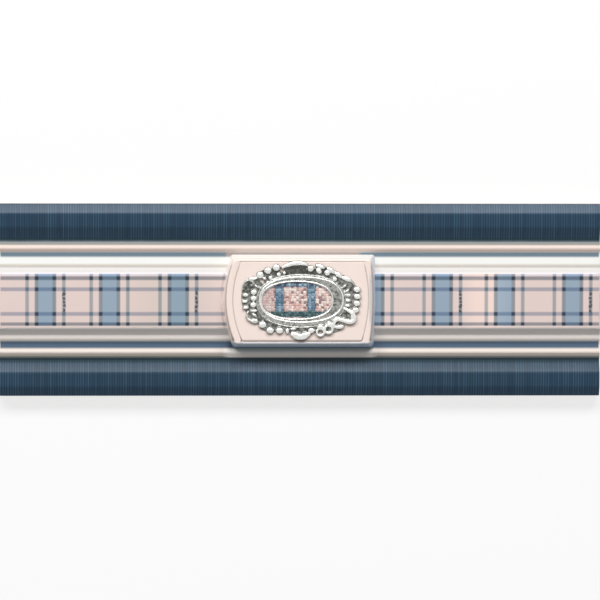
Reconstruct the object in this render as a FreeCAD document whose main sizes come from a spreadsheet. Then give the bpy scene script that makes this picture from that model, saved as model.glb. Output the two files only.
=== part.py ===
import FreeCAD, Part
import math
import os
import Sketcher

# Victorian border tile: one pressed relief tile, glazed and fired in one piece.
# +X runs along the border, +Y across it and +Z out of its face. The origin is the middle of the back.

doc = FreeCAD.newDocument("border_tile")

# Driving dimensions in millimetres and degrees, one row of the sheet each.
# Runs are widths across the tile, counted from the long edge inward; rises and drops are heights.
SIZES = (
    ("tile_length", 250.0),
    ("tile_width", 80.0),
    ("edge_height", 6.0),
    ("edge_slope_run", 4.0),
    ("edge_slope_rise", 2.2),
    ("band_run", 5.7),
    ("band_slope_run", 4.4),
    ("band_slope_drop", 2.0),
    ("channel_run", 1.4),
    ("ridge_rise_run", 2.8),
    ("ridge_rise", 1.6),
    ("ridge_drop_run", 1.9),
    ("ridge_drop", 0.8),
    ("line_groove_run", 1.5),
    ("rim_rise_run", 3.0),
    ("rim_rise", 1.1),
    ("rim_drop_run", 1.45),
    ("rim_drop", 0.35),
    ("field_slope_run", 2.75),
    ("field_rise", 1.85),
    ("soft_edge", 0.7),
    ("crest_edge", 0.5),
    ("plaque_length", 57.2),
    ("plaque_width", 38.8),
    ("plaque_bulge", 1.9),
    ("plaque_rise", 4.6),
    ("plaque_draft", 6.0),
    ("plaque_corner", 1.2),
    ("plaque_edge", 0.8),
    ("incised_inset", 2.8),
    ("incised_width", 0.5),
    ("incised_depth", 0.35),
    ("oval_half_length", 16.5),
    ("oval_half_width", 9.4),
    ("oval_end_radius", 6.3),
    ("ring_width", 1.7),
    ("ring_crest", 0.7),
    ("ring_rise", 0.9),
    ("inner_ring_inset", 1.8),
    ("inner_ring_width", 1.2),
    ("inner_ring_crest", 0.4),
    ("inner_ring_rise", 0.6),
    ("seat_outset", 3.6),
    ("seat_rise", 0.5),
    ("bead_radius", 1.25),
    ("bead_crest", 0.6),
    ("bead_rise", 1.6),
    ("inner_column_gap", 3.2),
    ("outer_column_gap", 6.6),
    ("column_pitch", 2.65),
    ("swag_start", 5.2),
    ("swag_reach", 15.8),
    ("swag_gap", 3.4),
    ("swag_fall", 2.3),
    ("scroll_radius", 2.1),
    ("scroll_width", 1.6),
    ("scroll_crest", 0.7),
    ("scroll_rise", 1.5),
    ("scroll_across", 2.8),
    ("scroll_up", 6.6),
    ("shell_radius", 3.2),
    ("shell_width", 1.9),
    ("shell_crest", 0.8),
    ("shell_rise", 1.7),
    ("shell_gap", 1.6),
    ("back_rib_pitch", 10.0),
    ("back_groove_width", 4.0),
    ("back_groove_depth", 0.8),
    ("back_groove_margin", 9.0),
)
RIGHT_BEADS = 4
LEFT_BEADS = 3
SWAG_BEADS = 4
GROOVES_EACH_SIDE = 3
SCROLL_SWEEP = 250.0
SHELL_SWEEP = 160.0
QUARTER_TURN = 90.0

# How far from its place, in millimetres, an edge that is to be rounded may be found.
SAME_SPOT = 0.01
SAME_CORNER = 0.3
UPRIGHT = FreeCAD.Vector(0, 0, 1)

sheet = doc.addObject("Spreadsheet::Sheet", "sizes")
for row, (alias, number) in enumerate(SIZES, start=1):
    sheet.set(f"A{row}", alias)
    sheet.set(f"B{row}", str(number))
    sheet.setAlias(f"B{row}", alias)
doc.recompute()


class Size:
    """A length that carries the sheet formula it comes from."""

    def __init__(self, value, formula):
        self.value = value
        self.formula = formula

    def joined(self, other, sign, value):
        return Size(value, f"({self.formula} {sign} {other.formula})")

    def __add__(self, other):
        return self.joined(as_size(other), "+", self.value + as_size(other).value)

    def __sub__(self, other):
        return self.joined(as_size(other), "-", self.value - as_size(other).value)

    def __mul__(self, other):
        return self.joined(as_size(other), "*", self.value * as_size(other).value)

    def __truediv__(self, other):
        return self.joined(as_size(other), "/", self.value / as_size(other).value)

    def __neg__(self):
        return self * -1


def as_size(thing):
    return thing if isinstance(thing, Size) else Size(float(thing), repr(float(thing)))


def size(alias):
    return Size(float(sheet.get(alias)), f"sizes.{alias}")


def bind(thing, path, length):
    """Sets a property and ties it to the sheet."""
    thing.setExpression(path, as_size(length).formula)


def plane_of(body, role):
    return next(f for f in body.Origin.OriginFeatures if f.Role == role)


def new_sketch(body, name, role, lift=0.0):
    """A sketch on one of the body's origin planes, raised by lift along the plane's normal."""
    sketch = body.newObject("Sketcher::SketchObject", name)
    sketch.AttachmentSupport = [(plane_of(body, role), "")]
    sketch.MapMode = "FlatFace"
    bind(sketch, ".AttachmentOffset.Base.z", lift)
    return sketch


def pin(sketch, curve, spot, across, up):
    """Holds a point of a curve at a place that follows the sheet."""
    for kind, length in (("DistanceX", as_size(across)), ("DistanceY", as_size(up))):
        index = sketch.addConstraint(Sketcher.Constraint(kind, -1, 1, curve, spot, length.value))
        bind(sketch, f"Constraints[{index}]", length)


def vector(across, up):
    return FreeCAD.Vector(as_size(across).value, as_size(up).value, 0)


def set_radius(sketch, curve, radius):
    index = sketch.addConstraint(Sketcher.Constraint("Radius", curve, radius.value))
    bind(sketch, f"Constraints[{index}]", radius)


def draw_outline(sketch, corners):
    """A closed outline of straight lines, every corner pinned."""
    following = corners[1:] + corners[:1]
    lines = [sketch.addGeometry(Part.LineSegment(vector(*a), vector(*b)), False)
             for a, b in zip(corners, following)]
    for line, after, corner in zip(lines, lines[1:] + lines[:1], corners):
        sketch.addConstraint(Sketcher.Constraint("Coincident", line, 2, after, 1))
        pin(sketch, line, 1, *corner)


def draw_cartouche(sketch, half_long, half_wide, bulge):
    """A rectangle whose two short sides bow outward as shallow arcs."""
    bow_radius = (half_wide * half_wide + bulge * bulge) / (bulge * 2)
    for side in (1, -1):
        here = (half_long * side, half_wide * side)
        along = (half_long * -side, half_wide * side)
        across = (half_long * side, half_wide * -side)
        line = sketch.addGeometry(Part.LineSegment(vector(*here), vector(*along)), False)
        pin(sketch, line, 1, *here)
        pin(sketch, line, 2, *along)
        middle = vector((half_long + bulge) * side, 0)
        bow = sketch.addGeometry(Part.Arc(vector(*across), middle, vector(*here)), False)
        pin(sketch, bow, 1, *across)
        pin(sketch, bow, 2, *here)
        set_radius(sketch, bow, bow_radius)


def flat_radius(half_long, half_wide, end_radius):
    """The radius of an oval's long arcs that run smoothly into its end arcs."""
    run = half_long - end_radius
    return (run * run + half_wide * half_wide - end_radius * end_radius) / ((half_wide - end_radius) * 2)


def draw_oval(sketch, outset):
    """A four-centre oval, parallel to the medallion's main oval and outset from it."""
    half_long = size("oval_half_length") + outset
    half_wide = size("oval_half_width") + outset
    end_radius = size("oval_end_radius") + outset
    run = half_long - end_radius
    long_radius = flat_radius(half_long, half_wide, end_radius)
    joint = math.atan2((long_radius - half_wide).value, run.value)
    for across, up in ((1, 1), (-1, 1), (-1, -1), (1, -1)):
        turning = across * up
        base = 0.0 if across > 0 else math.pi
        end_centre = vector(run * across, 0)
        long_centre = vector(0, (half_wide - long_radius) * up)
        angles = sorted((base, base + turning * joint))
        end_arc = Part.ArcOfCircle(Part.Circle(end_centre, UPRIGHT, end_radius.value), *angles)
        angles = sorted((base + turning * joint, base + turning * math.pi / 2))
        long_arc = Part.ArcOfCircle(Part.Circle(long_centre, UPRIGHT, long_radius.value), *angles)
        near, far = (1, 2) if turning > 0 else (2, 1)
        end_curve = sketch.addGeometry(end_arc, False)
        long_curve = sketch.addGeometry(long_arc, False)
        pin(sketch, end_curve, near, half_long * across, 0)
        pin(sketch, end_curve, 3, run * across, 0)
        pin(sketch, long_curve, far, 0, half_wide * up)
        sketch.addConstraint(Sketcher.Constraint("PointOnObject", long_curve, 3, -2))
        sketch.addConstraint(Sketcher.Constraint("Tangent", end_curve, far, long_curve, near))


def new_pad(body, name, sketch, height):
    pad = body.newObject("PartDesign::Pad", name)
    pad.Profile = sketch
    bind(pad, "Length", height)
    return pad


def new_pocket(body, name, sketch, depth, backwards):
    pocket = body.newObject("PartDesign::Pocket", name)
    pocket.Profile = sketch
    pocket.Reversed = backwards
    bind(pocket, "Length", depth)
    return pocket


def edges_where(shape, test):
    """Names of the edges whose middle and ends all pass a test."""
    names = []
    for number, edge in enumerate(shape.Edges, start=1):
        middle = edge.valueAt((edge.FirstParameter + edge.LastParameter) / 2)
        spots = [middle] + [v.Point for v in edge.Vertexes]
        if all(test(spot) for spot in spots):
            names.append(f"Edge{number}")
    return names


def new_fillet(body, name, radius, test):
    """Rounds the edges of the body so far that pass a test."""
    base = body.Tip
    doc.recompute()
    fillet = body.newObject("PartDesign::Fillet", name)
    fillet.Base = (base, edges_where(base.Shape, test))
    bind(fillet, "Radius", radius)
    return fillet


# Heights of the section, worked out from the back upward.
edge_top = size("edge_height")
band_top = edge_top + size("edge_slope_rise")
channel_floor = band_top - size("band_slope_drop")
ridge_top = channel_floor + size("ridge_rise")
line_groove_floor = ridge_top - size("ridge_drop")
rim_top = line_groove_floor + size("rim_rise")
rim_groove_floor = rim_top - size("rim_drop")
field_top = rim_groove_floor + size("field_rise")
plaque_top = field_top + size("plaque_rise")
seat_top = plaque_top + size("seat_rise")

# Half widths of the section, worked out from the long edge inward.
edge_line = size("tile_width") / 2
band_edge = edge_line - size("edge_slope_run")
band_inner = band_edge - size("band_run")
channel_outer = band_inner - size("band_slope_run")
channel_inner = channel_outer - size("channel_run")
ridge_crest = channel_inner - size("ridge_rise_run")
line_groove_outer = ridge_crest - size("ridge_drop_run")
line_groove_inner = line_groove_outer - size("line_groove_run")
rim_crest = line_groove_inner - size("rim_rise_run")
rim_groove = rim_crest - size("rim_drop_run")
field_edge = rim_groove - size("field_slope_run")

HALF_SECTION = (
    (edge_line, as_size(0)),
    (edge_line, edge_top),
    (band_edge, band_top),
    (band_inner, band_top),
    (channel_outer, channel_floor),
    (channel_inner, channel_floor),
    (ridge_crest, ridge_top),
    (line_groove_outer, line_groove_floor),
    (line_groove_inner, line_groove_floor),
    (rim_crest, rim_top),
    (rim_groove, rim_groove_floor),
    (field_edge, field_top),
)
SOFT_CORNERS = ((edge_line, edge_top), (band_edge, band_top), (band_inner, band_top))
CREST_CORNERS = ((ridge_crest, ridge_top), (rim_crest, rim_top), (field_edge, field_top))


def along_corner(corners):
    """A test for edges that run along the tile at one of the section's corners, on either side."""
    def test(spot):
        return any(abs(abs(spot.y) - across.value) < SAME_SPOT and abs(spot.z - up.value) < SAME_SPOT
                   for across, up in corners)
    return test


def build_moulded_bar(body):
    """The section of mouldings, run the length of the tile, with its crests softened by the glaze."""
    sketch = new_sketch(body, "section", "YZ_Plane")
    far_side = [(-across, up) for across, up in reversed(HALF_SECTION)]
    draw_outline(sketch, list(HALF_SECTION) + far_side)
    bar = new_pad(body, "moulded_bar", sketch, size("tile_length"))
    bar.Midplane = True
    new_fillet(body, "soft_corners", size("soft_edge"), along_corner(SOFT_CORNERS))
    new_fillet(body, "moulding_crests", size("crest_edge"), along_corner(CREST_CORNERS))


def build_back_grooves(body):
    """Shallow keying grooves along the back, with a flat rib on the centre line."""
    half_long = size("tile_length") / 2 - size("back_groove_margin")
    first = size("back_rib_pitch") / 2 - size("back_groove_width") / 2
    sketch = new_sketch(body, "back_grooves", "XY_Plane")
    for number in range(GROOVES_EACH_SIDE):
        near = first + size("back_rib_pitch") * number
        far = near + size("back_groove_width")
        for side in (1, -1):
            draw_outline(sketch, [(-half_long, near * side), (half_long, near * side),
                                  (half_long, far * side), (-half_long, far * side)])
    new_pocket(body, "back_groove_cut", sketch, size("back_groove_depth"), True)


def build_plaque(body):
    """The raised plaque at the middle, with bowed ends, drafted walls and a line cut round its face."""
    half_long = size("plaque_length") / 2
    half_wide = size("plaque_width") / 2
    outline = new_sketch(body, "plaque_outline", "XY_Plane", channel_floor)
    draw_cartouche(outline, half_long, half_wide, size("plaque_bulge"))
    plaque = new_pad(body, "plaque", outline, plaque_top - channel_floor)
    bind(plaque, "TaperAngle", -size("plaque_draft"))

    def at_corner(spot):
        lean = (spot.z - channel_floor.value) * math.tan(math.radians(size("plaque_draft").value))
        return (abs(abs(spot.x) - half_long.value + lean) < SAME_CORNER
                and abs(abs(spot.y) - half_wide.value + lean) < SAME_CORNER)

    def on_top(spot):
        return abs(spot.z - plaque_top.value) < SAME_SPOT

    new_fillet(body, "plaque_corners", size("plaque_corner"), at_corner)
    new_fillet(body, "plaque_rim", size("plaque_edge"), on_top)
    line = new_sketch(body, "incised_line", "XY_Plane", plaque_top)
    for inset in (size("incised_inset"), size("incised_inset") + size("incised_width")):
        draw_cartouche(line, half_long - inset, half_wide - inset, size("plaque_bulge"))
    new_pocket(body, "incised_line_cut", line, size("incised_depth"), False)


def build_ring(body, name, inset):
    """A raised ring with sloping sides, run along an oval parallel to the medallion's main one."""
    path = new_sketch(body, f"{name}_path", "XY_Plane", seat_top)
    draw_oval(path, -inset)
    profile = new_sketch(body, f"{name}_profile", "XZ_Plane")
    middle = size("oval_half_length") - inset
    half_foot = size(f"{name}_width") / 2
    half_crest = size(f"{name}_crest") / 2
    crest = seat_top + size(f"{name}_rise")
    draw_outline(profile, [(middle - half_foot, seat_top), (middle + half_foot, seat_top),
                           (middle + half_crest, crest), (middle - half_crest, crest)])
    ring = body.newObject("PartDesign::AdditivePipe", name)
    ring.Profile = profile
    ring.Spine = (path, [])


def place(thing, across, up, height, turn=0.0):
    """Puts a solid at a spot that follows the sheet, turned about the upright axis."""
    thing.Placement.Rotation = FreeCAD.Rotation(UPRIGHT, turn)
    bind(thing, ".Placement.Base.x", across)
    bind(thing, ".Placement.Base.y", up)
    bind(thing, ".Placement.Base.z", height)


def new_cone(name, foot, crest, rise):
    """An upright cone cut off flat at its crest."""
    cone = doc.addObject("Part::Cone", name)
    bind(cone, "Radius1", foot)
    bind(cone, "Radius2", crest)
    bind(cone, "Height", rise)
    return cone


def build_bead(name, across, up):
    bead = new_cone(name, size("bead_radius"), size("bead_crest"), size("bead_rise"))
    place(bead, across, up, plaque_top)
    return bead


def build_curl(kind, name, centre, sweep, facing):
    """Part of a round ring with sloping sides, open on the side opposite to the angle it faces."""
    radius = size(f"{kind}_radius")
    half_foot = size(f"{kind}_width") / 2
    half_crest = size(f"{kind}_crest") / 2
    rise = size(f"{kind}_rise")
    outside = new_cone(f"{name}_outside", radius + half_foot, radius + half_crest, rise)
    outside.Angle = sweep
    inside = new_cone(f"{name}_inside", radius - half_foot, radius - half_crest, rise)
    for cone in (outside, inside):
        place(cone, *centre, plaque_top, facing - sweep / 2)
    curl = doc.addObject("Part::Cut", name)
    curl.Base = outside
    curl.Tool = inside
    return curl


def build_medallion_oval(body):
    """The flat seat of the medallion and the two rings round its inlay."""
    seat = new_sketch(body, "medallion_seat_outline", "XY_Plane", field_top)
    draw_oval(seat, size("seat_outset"))
    new_pad(body, "medallion_seat", seat, seat_top - field_top)
    build_ring(body, "ring", as_size(0))
    build_ring(body, "inner_ring", size("inner_ring_inset"))


def build_bead_columns():
    """Two short columns of beads at each end of the oval."""
    right = [number - (RIGHT_BEADS - 1) / 2 for number in range(RIGHT_BEADS)]
    left = [number - (LEFT_BEADS - 1) / 2 for number in range(LEFT_BEADS)]
    beads = []
    for side, hand, steps in ((1, "right", right), (-1, "left", left)):
        for column in ("inner", "outer"):
            across = (size("oval_half_length") + size(f"{column}_column_gap")) * side
            for number, step in enumerate(steps):
                up = size("column_pitch") * step
                beads.append(build_bead(f"{hand}_{column}_bead_{number}", across, up))
    return beads


def build_corner(name, across, up):
    """A falling row of beads that ends in a scroll, for the corner on the side that across and up give."""
    pieces = []
    for number in range(SWAG_BEADS):
        share = number / (SWAG_BEADS - 1)
        reach = size("swag_start") + (size("swag_reach") - size("swag_start")) * share
        height = size("oval_half_width") + size("swag_gap") - size("swag_fall") * share ** 2
        pieces.append(build_bead(f"{name}_bead_{number}", reach * across, height * up))
    centre = ((size("oval_half_length") + size("scroll_across")) * across, size("scroll_up") * up)
    facing = math.degrees(math.atan2(up, across))
    pieces.append(build_curl("scroll", f"{name}_scroll", centre, SCROLL_SWEEP, facing))
    return pieces


def build_shell(name, up):
    """An arched shell over the middle of the oval's long side."""
    centre = (as_size(0), (size("oval_half_width") + size("shell_gap")) * up)
    return build_curl("shell", name, centre, SHELL_SWEEP, QUARTER_TURN * up)


def build_wreath():
    """The wreath of beads, scrolls and shells that frames the oval."""
    wreath = build_bead_columns()
    for name, across, up in (("top_right", 1, 1), ("top_left", -1, 1),
                             ("low_left", -1, -1), ("low_right", 1, -1)):
        wreath += build_corner(name, across, up)
    return wreath + [build_shell("top_shell", 1), build_shell("low_shell", -1)]


moulding = doc.addObject("PartDesign::Body", "moulded_tile")
build_moulded_bar(moulding)
build_back_grooves(moulding)
raised = doc.addObject("PartDesign::Body", "raised_plaque")
build_plaque(raised)
build_medallion_oval(raised)
tile = doc.addObject("Part::MultiFuse", "border_tile")
tile.Label = "border_tile"
tile.Shapes = [moulding, raised] + build_wreath()
tile.Refine = True
doc.recompute()

for thing in doc.Objects:
    if "Invalid" in thing.State or "Error" in thing.State:
        raise RuntimeError(f"{thing.Name} could not be built")
if tile.Shape.isNull() or not tile.Shape.isValid() or len(tile.Shape.Solids) != 1:
    raise RuntimeError("the tile is not one whole solid")
os.makedirs("parts", exist_ok=True)
tile.Shape.exportStep(f"parts/{tile.Label}.step")
print(f"volume {tile.Shape.Volume:.1f} mm3, {len(tile.Shape.Faces)} faces, {tile.Shape.BoundBox}")
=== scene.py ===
"""Dresses the pressed border tile: ribbed blue bands, pale mouldings, printed plaid, plaque and silver medallion.

Lengths are in metres in the tile's own frame: +X along the border, +Y across it to the far side, +Z out of the face.
"""

import logging
import math
import random
from collections.abc import Callable, Sequence
from dataclasses import dataclass, field
from enum import Enum

import bpy
from mathutils import Matrix, Vector

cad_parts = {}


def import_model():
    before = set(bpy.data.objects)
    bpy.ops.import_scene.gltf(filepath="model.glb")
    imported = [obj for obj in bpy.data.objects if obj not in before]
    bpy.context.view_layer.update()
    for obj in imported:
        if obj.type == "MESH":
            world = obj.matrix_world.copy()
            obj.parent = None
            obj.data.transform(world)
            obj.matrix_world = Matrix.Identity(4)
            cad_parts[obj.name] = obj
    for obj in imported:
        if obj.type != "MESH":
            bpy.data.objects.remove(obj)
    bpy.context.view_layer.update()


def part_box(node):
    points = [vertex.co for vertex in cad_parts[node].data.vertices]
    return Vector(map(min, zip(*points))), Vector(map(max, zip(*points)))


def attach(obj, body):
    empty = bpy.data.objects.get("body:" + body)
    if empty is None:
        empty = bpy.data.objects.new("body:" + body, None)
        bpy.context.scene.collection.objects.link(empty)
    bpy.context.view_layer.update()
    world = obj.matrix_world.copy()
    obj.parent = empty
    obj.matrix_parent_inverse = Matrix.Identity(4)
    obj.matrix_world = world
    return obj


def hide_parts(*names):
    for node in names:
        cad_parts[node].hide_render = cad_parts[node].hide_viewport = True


LOG = logging.getLogger("tile")
MM = 0.001
NODE = "border_tile"
SAME_PLACE = 0.02 * MM

Colour = tuple[float, float, float]
# Two numbers of a kind: a place, two sizes or two shares.
Spot = tuple[float, float]
# Where a mask turns on, and the width over which it does.
Step = tuple[float, float]
# The middle of a mask, its half width, and the width over which it fades.
Band = tuple[float, float, float]
Test = Callable[[Vector], bool]
EdgeTest = Callable[[Vector, Vector], bool]


class Slot(Enum):
    """The record's material slots for the glaze and the silver lustre."""

    GLAZE = "glazed_body"
    SILVER = "silver_lustre"


class Pick(Enum):
    """What a selection in edit mode picks, as Blender names it."""

    CORNERS = "VERT"
    EDGES = "EDGE"
    FACES = "FACE"


def srgb(red: int, green: int, blue: int) -> Colour:
    """Turns a colour of 0 to 255 as seen on a screen into the linear one that shaders take.

    Args:
        red: Share of red, 0 to 255.
        green: Share of green, 0 to 255.
        blue: Share of blue, 0 to 255.

    Returns:
        The linear colour.
    """
    def linear(step: int) -> float:
        """The linear share of one step of 0 to 255."""
        share = step / 255
        return share / 12.92 if share <= 0.04045 else ((share + 0.055) / 1.055) ** 2.4

    return linear(red), linear(green), linear(blue)


@dataclass(frozen=True)
class Section:
    """The tile's section, as half widths from the centre line and heights above the back."""

    half_length: float
    edge_line: float
    edge_top: float = 6.0 * MM
    band_top: float = 8.2 * MM
    channel_floor: float = 6.2 * MM
    ridge_top: float = 7.8 * MM
    groove_floor: float = 7.0 * MM
    rim_top: float = 8.1 * MM
    rim_groove_floor: float = 7.75 * MM
    field_top: float = 9.6 * MM
    plaque_top: float = 14.2 * MM
    seat_top: float = 14.7 * MM
    band_edge: float = 36.0 * MM
    band_inner: float = 30.3 * MM
    channel_outer: float = 25.9 * MM
    channel_inner: float = 24.5 * MM
    ridge_crest: float = 21.7 * MM
    groove_outer: float = 19.8 * MM
    groove_inner: float = 18.3 * MM
    rim_crest: float = 15.3 * MM
    rim_groove: float = 13.85 * MM
    field_edge: float = 11.1 * MM

    @classmethod
    def from_frame(cls) -> "Section":
        """Takes the tile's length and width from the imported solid.

        Returns:
            The section with its outer sizes set.
        """
        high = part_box(NODE)[1]
        return cls(half_length=high[0], edge_line=high[1])


class Signal:
    """A number that varies over a surface: the output of a shader node, usable in sums."""

    def __init__(self, sheet: "NodeSheet", socket: bpy.types.NodeSocket) -> None:
        """Keeps the node tree and the output socket."""
        self.sheet = sheet
        self.socket = socket

    def __add__(self, other: "Signal | float") -> "Signal":
        """Adds a number or another signal."""
        return self.sheet.math("ADD", self, other)

    __radd__ = __add__

    def __sub__(self, other: "Signal | float") -> "Signal":
        """Takes a number or another signal away."""
        return self.sheet.math("SUBTRACT", self, other)

    def __rsub__(self, other: float) -> "Signal":
        """Takes this signal away from a number."""
        return self.sheet.math("SUBTRACT", other, self)

    def __mul__(self, other: "Signal | float") -> "Signal":
        """Multiplies by a number or another signal."""
        return self.sheet.math("MULTIPLY", self, other)

    __rmul__ = __mul__

    def __truediv__(self, other: "Signal | float") -> "Signal":
        """Divides by a number or another signal."""
        return self.sheet.math("DIVIDE", self, other)

    def __abs__(self) -> "Signal":
        """Drops the sign."""
        return self.sheet.math("ABSOLUTE", self)

    def clamped(self) -> "Signal":
        """Holds the signal between 0 and 1."""
        return self.sheet.math("MINIMUM", self.sheet.math("MAXIMUM", self, 0.0), 1.0)

    def above(self, edge: float, soft: float) -> "Signal":
        """A mask that is 1 where the signal is over an edge.

        Args:
            edge: The value at which the mask is one half.
            soft: The width over which the mask turns from 0 to 1.

        Returns:
            The mask.
        """
        return ((self - edge) / soft + 0.5).clamped()

    def below(self, edge: float, soft: float) -> "Signal":
        """A mask that is 1 where the signal is under an edge, turning over soft."""
        return 1 - self.above(edge, soft)

    def within(self, centre: float, half_width: float, soft: float) -> "Signal":
        """A mask that is 1 within half_width of centre and fades over soft."""
        return abs(self - centre).below(half_width, soft)


class NodeSheet:
    """A node tree, with short ways to add nodes and sums."""

    def __init__(self, tree: bpy.types.NodeTree) -> None:
        """Empties the tree."""
        self.tree = tree
        self.tree.nodes.clear()

    def node(self, kind: str, settings: dict[str, object], inputs: dict[object, object]) -> bpy.types.Node:
        """Adds a node, sets it up and fills its sockets.

        Args:
            kind: The node's Blender type.
            settings: Attributes such as an operation, set before the sockets.
            inputs: Values, signals or sockets, by socket name or number.

        Returns:
            The node.
        """
        node = self.tree.nodes.new(kind)
        for key, value in settings.items():
            setattr(node, key, value)
        for key, value in inputs.items():
            if isinstance(value, Signal):
                value = value.socket
            if isinstance(value, bpy.types.NodeSocket):
                self.tree.links.new(value, node.inputs[key])
            else:
                node.inputs[key].default_value = value
        return node

    def math(self, operation: str, first: "Signal | float", second: "Signal | float" = 0.0,
             third: float = 0.0) -> Signal:
        """Adds a Math node.

        Args:
            operation: The node's operation.
            first: Its first value.
            second: Its second value, where it has one.
            third: Its third value, where it has one.

        Returns:
            The result.
        """
        made = self.node("ShaderNodeMath", {"operation": operation}, {0: first, 1: second, 2: third})
        return Signal(self, made.outputs[0])


class ShaderSheet(NodeSheet):
    """One material's node tree, with short ways to add what the finishes use."""

    def __init__(self, name: str) -> None:
        """Makes a material with a Principled shader and an output."""
        self.material = bpy.data.materials.new(name)
        self.material.use_nodes = True
        super().__init__(self.material.node_tree)
        self.shader = self.node("ShaderNodeBsdfPrincipled", {}, {})
        self.node("ShaderNodeOutputMaterial", {}, {"Surface": self.shader.outputs["BSDF"]})
        place = self.node("ShaderNodeTexCoord", {}, {})
        self.place = place.outputs["Object"]
        split = self.node("ShaderNodeSeparateXYZ", {}, {"Vector": self.place})
        self.along = Signal(self, split.outputs["X"])
        self.across = Signal(self, split.outputs["Y"])
        self.height = Signal(self, split.outputs["Z"])

    def noise(self, size: float, detail: float = 2.0, stretch: Sequence[float] = (1.0, 1.0, 1.0)) -> Signal:
        """Soft noise with blotches of about the given size.

        Args:
            size: The blotches' size in metres.
            detail: How many finer layers are added.
            stretch: How much each axis is sped up, to make streaks.

        Returns:
            Noise around one half.
        """
        mapped = self.node("ShaderNodeMapping", {}, {"Vector": self.place, "Scale": tuple(stretch)})
        made = self.node("ShaderNodeTexNoise", {}, {
            "Vector": mapped.outputs["Vector"], "Scale": 1 / size, "Detail": detail})
        return Signal(self, made.outputs["Fac"])

    def mix(self, share: "Signal | float", first: object, second: object) -> bpy.types.NodeSocket:
        """Mixes two colours.

        Args:
            share: How much of the second shows.
            first: A colour or a colour socket.
            second: A colour or a colour socket.

        Returns:
            The mixed colour's socket.
        """
        made = self.node("ShaderNodeMix", {"data_type": "RGBA"}, {0: share, 6: solid(first), 7: solid(second)})
        return made.outputs[2]

    def tint(self, share: "Signal | float", base: object, ink: Colour) -> bpy.types.NodeSocket:
        """Lays a see-through ink over a base colour, as a print does, where share is 1."""
        made = self.node("ShaderNodeMix", {"data_type": "RGBA", "blend_type": "MULTIPLY"},
                         {0: share, 6: solid(base), 7: solid(ink)})
        return made.outputs[2]

    def bump(self, height: Signal, depth: float) -> None:
        """Drives the shader's normal from a height signal of 0 to 1 over the given depth."""
        made = self.node("ShaderNodeBump", {}, {"Strength": 1.0, "Distance": depth, "Height": height})
        self.tree.links.new(made.outputs["Normal"], self.shader.inputs["Normal"])

    def colour(self, base: object) -> None:
        """Sets the shader's base colour."""
        self.feed("Base Color", solid(base))

    def feed(self, name: str, value: object) -> None:
        """Sets or links one of the shader's own sockets."""
        if isinstance(value, Signal):
            value = value.socket
        if isinstance(value, bpy.types.NodeSocket):
            self.tree.links.new(value, self.shader.inputs[name])
        else:
            self.shader.inputs[name].default_value = value


def solid(colour: object) -> object:
    """Gives a plain colour the alpha that colour sockets want, and passes sockets through."""
    return (*colour, 1.0) if isinstance(colour, tuple) and len(colour) == 3 else colour


@dataclass(frozen=True)
class Biscuit:
    """The bare fired clay of the tile's back and cut edges."""

    clay: Colour = srgb(208, 197, 184)
    speck: Colour = srgb(180, 165, 148)
    mottle_size: float = 6.3 * MM
    mottles: Step = (0.5, 0.35)
    mottle_share: float = 0.35
    grain: float = 0.7 * MM
    specks: Step = (0.66, 0.06)
    speck_share: float = 0.5

    def colour(self, sheet: ShaderSheet) -> bpy.types.NodeSocket:
        """The clay's colour, mottled and lightly specked."""
        mottles = sheet.noise(self.mottle_size, 4.0).above(*self.mottles)
        specks = sheet.noise(self.grain, 2.0).above(*self.specks)
        base = sheet.mix(mottles * self.mottle_share, self.clay, self.speck)
        return sheet.mix(specks * self.speck_share, base, self.speck)


@dataclass(frozen=True)
class RibbedGlaze:
    """The dark blue glaze over the ribbed bands, thin on the ribs and deep between them."""

    blue: Colour = srgb(32, 58, 78)
    sloped: Colour = srgb(31, 61, 85)
    deep: Colour = srgb(22, 42, 56)
    thin: Colour = srgb(72, 102, 124)
    # Darker along the channel floor, about 25 mm out from the centre line.
    channel_dark: Colour = srgb(30, 50, 56)
    pitch: float = 250 / 240 * MM
    rib_stretch: tuple[float, float, float] = (1.0, 0.02, 0.0)
    shoulder: Step = (35.8 * MM, 0.8 * MM)
    drift_size: float = 26 * MM
    drifts: Step = (0.5, 0.3)
    drift_share: float = 0.25
    crest: Step = (0.55, 0.7)
    thin_ribs: Step = (0.5, 0.4)
    thin_share: float = 0.5
    furrow: Step = (0.3, 0.4)
    furrow_share: Spot = (0.25, 0.5)
    channel_dark_band: Band = (25.0 * MM, 0.9 * MM, 0.7 * MM)
    channel_dark_share: float = 0.7

    def colour(self, sheet: ShaderSheet) -> bpy.types.NodeSocket:
        """The glaze's colour over ribs, with slow drifts and single lighter and darker ribs."""
        half = self.pitch / 2
        phase = abs(sheet.math("WRAP", sheet.along, half, -half)) / half
        by_rib = sheet.noise(1.1 * self.pitch, 1.0, self.rib_stretch)
        drift = sheet.noise(self.drift_size, 2.0, (1.0, 2.0, 1.0)).above(*self.drifts)
        on_rib = phase.above(*self.crest) * by_rib.above(*self.thin_ribs)
        far = abs(sheet.across)
        least, more = self.furrow_share
        base = sheet.mix(far.above(*self.shoulder), self.blue, self.sloped)
        base = sheet.mix(drift * self.drift_share, base, self.deep)
        base = sheet.mix(on_rib * self.thin_share, base, self.thin)
        base = sheet.mix(phase.below(*self.furrow) * (least + by_rib * more), base, self.deep)
        # Darker along the channel floor, about 25 mm out.
        return sheet.mix(far.within(*self.channel_dark_band) * self.channel_dark_share, base, self.channel_dark)


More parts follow.
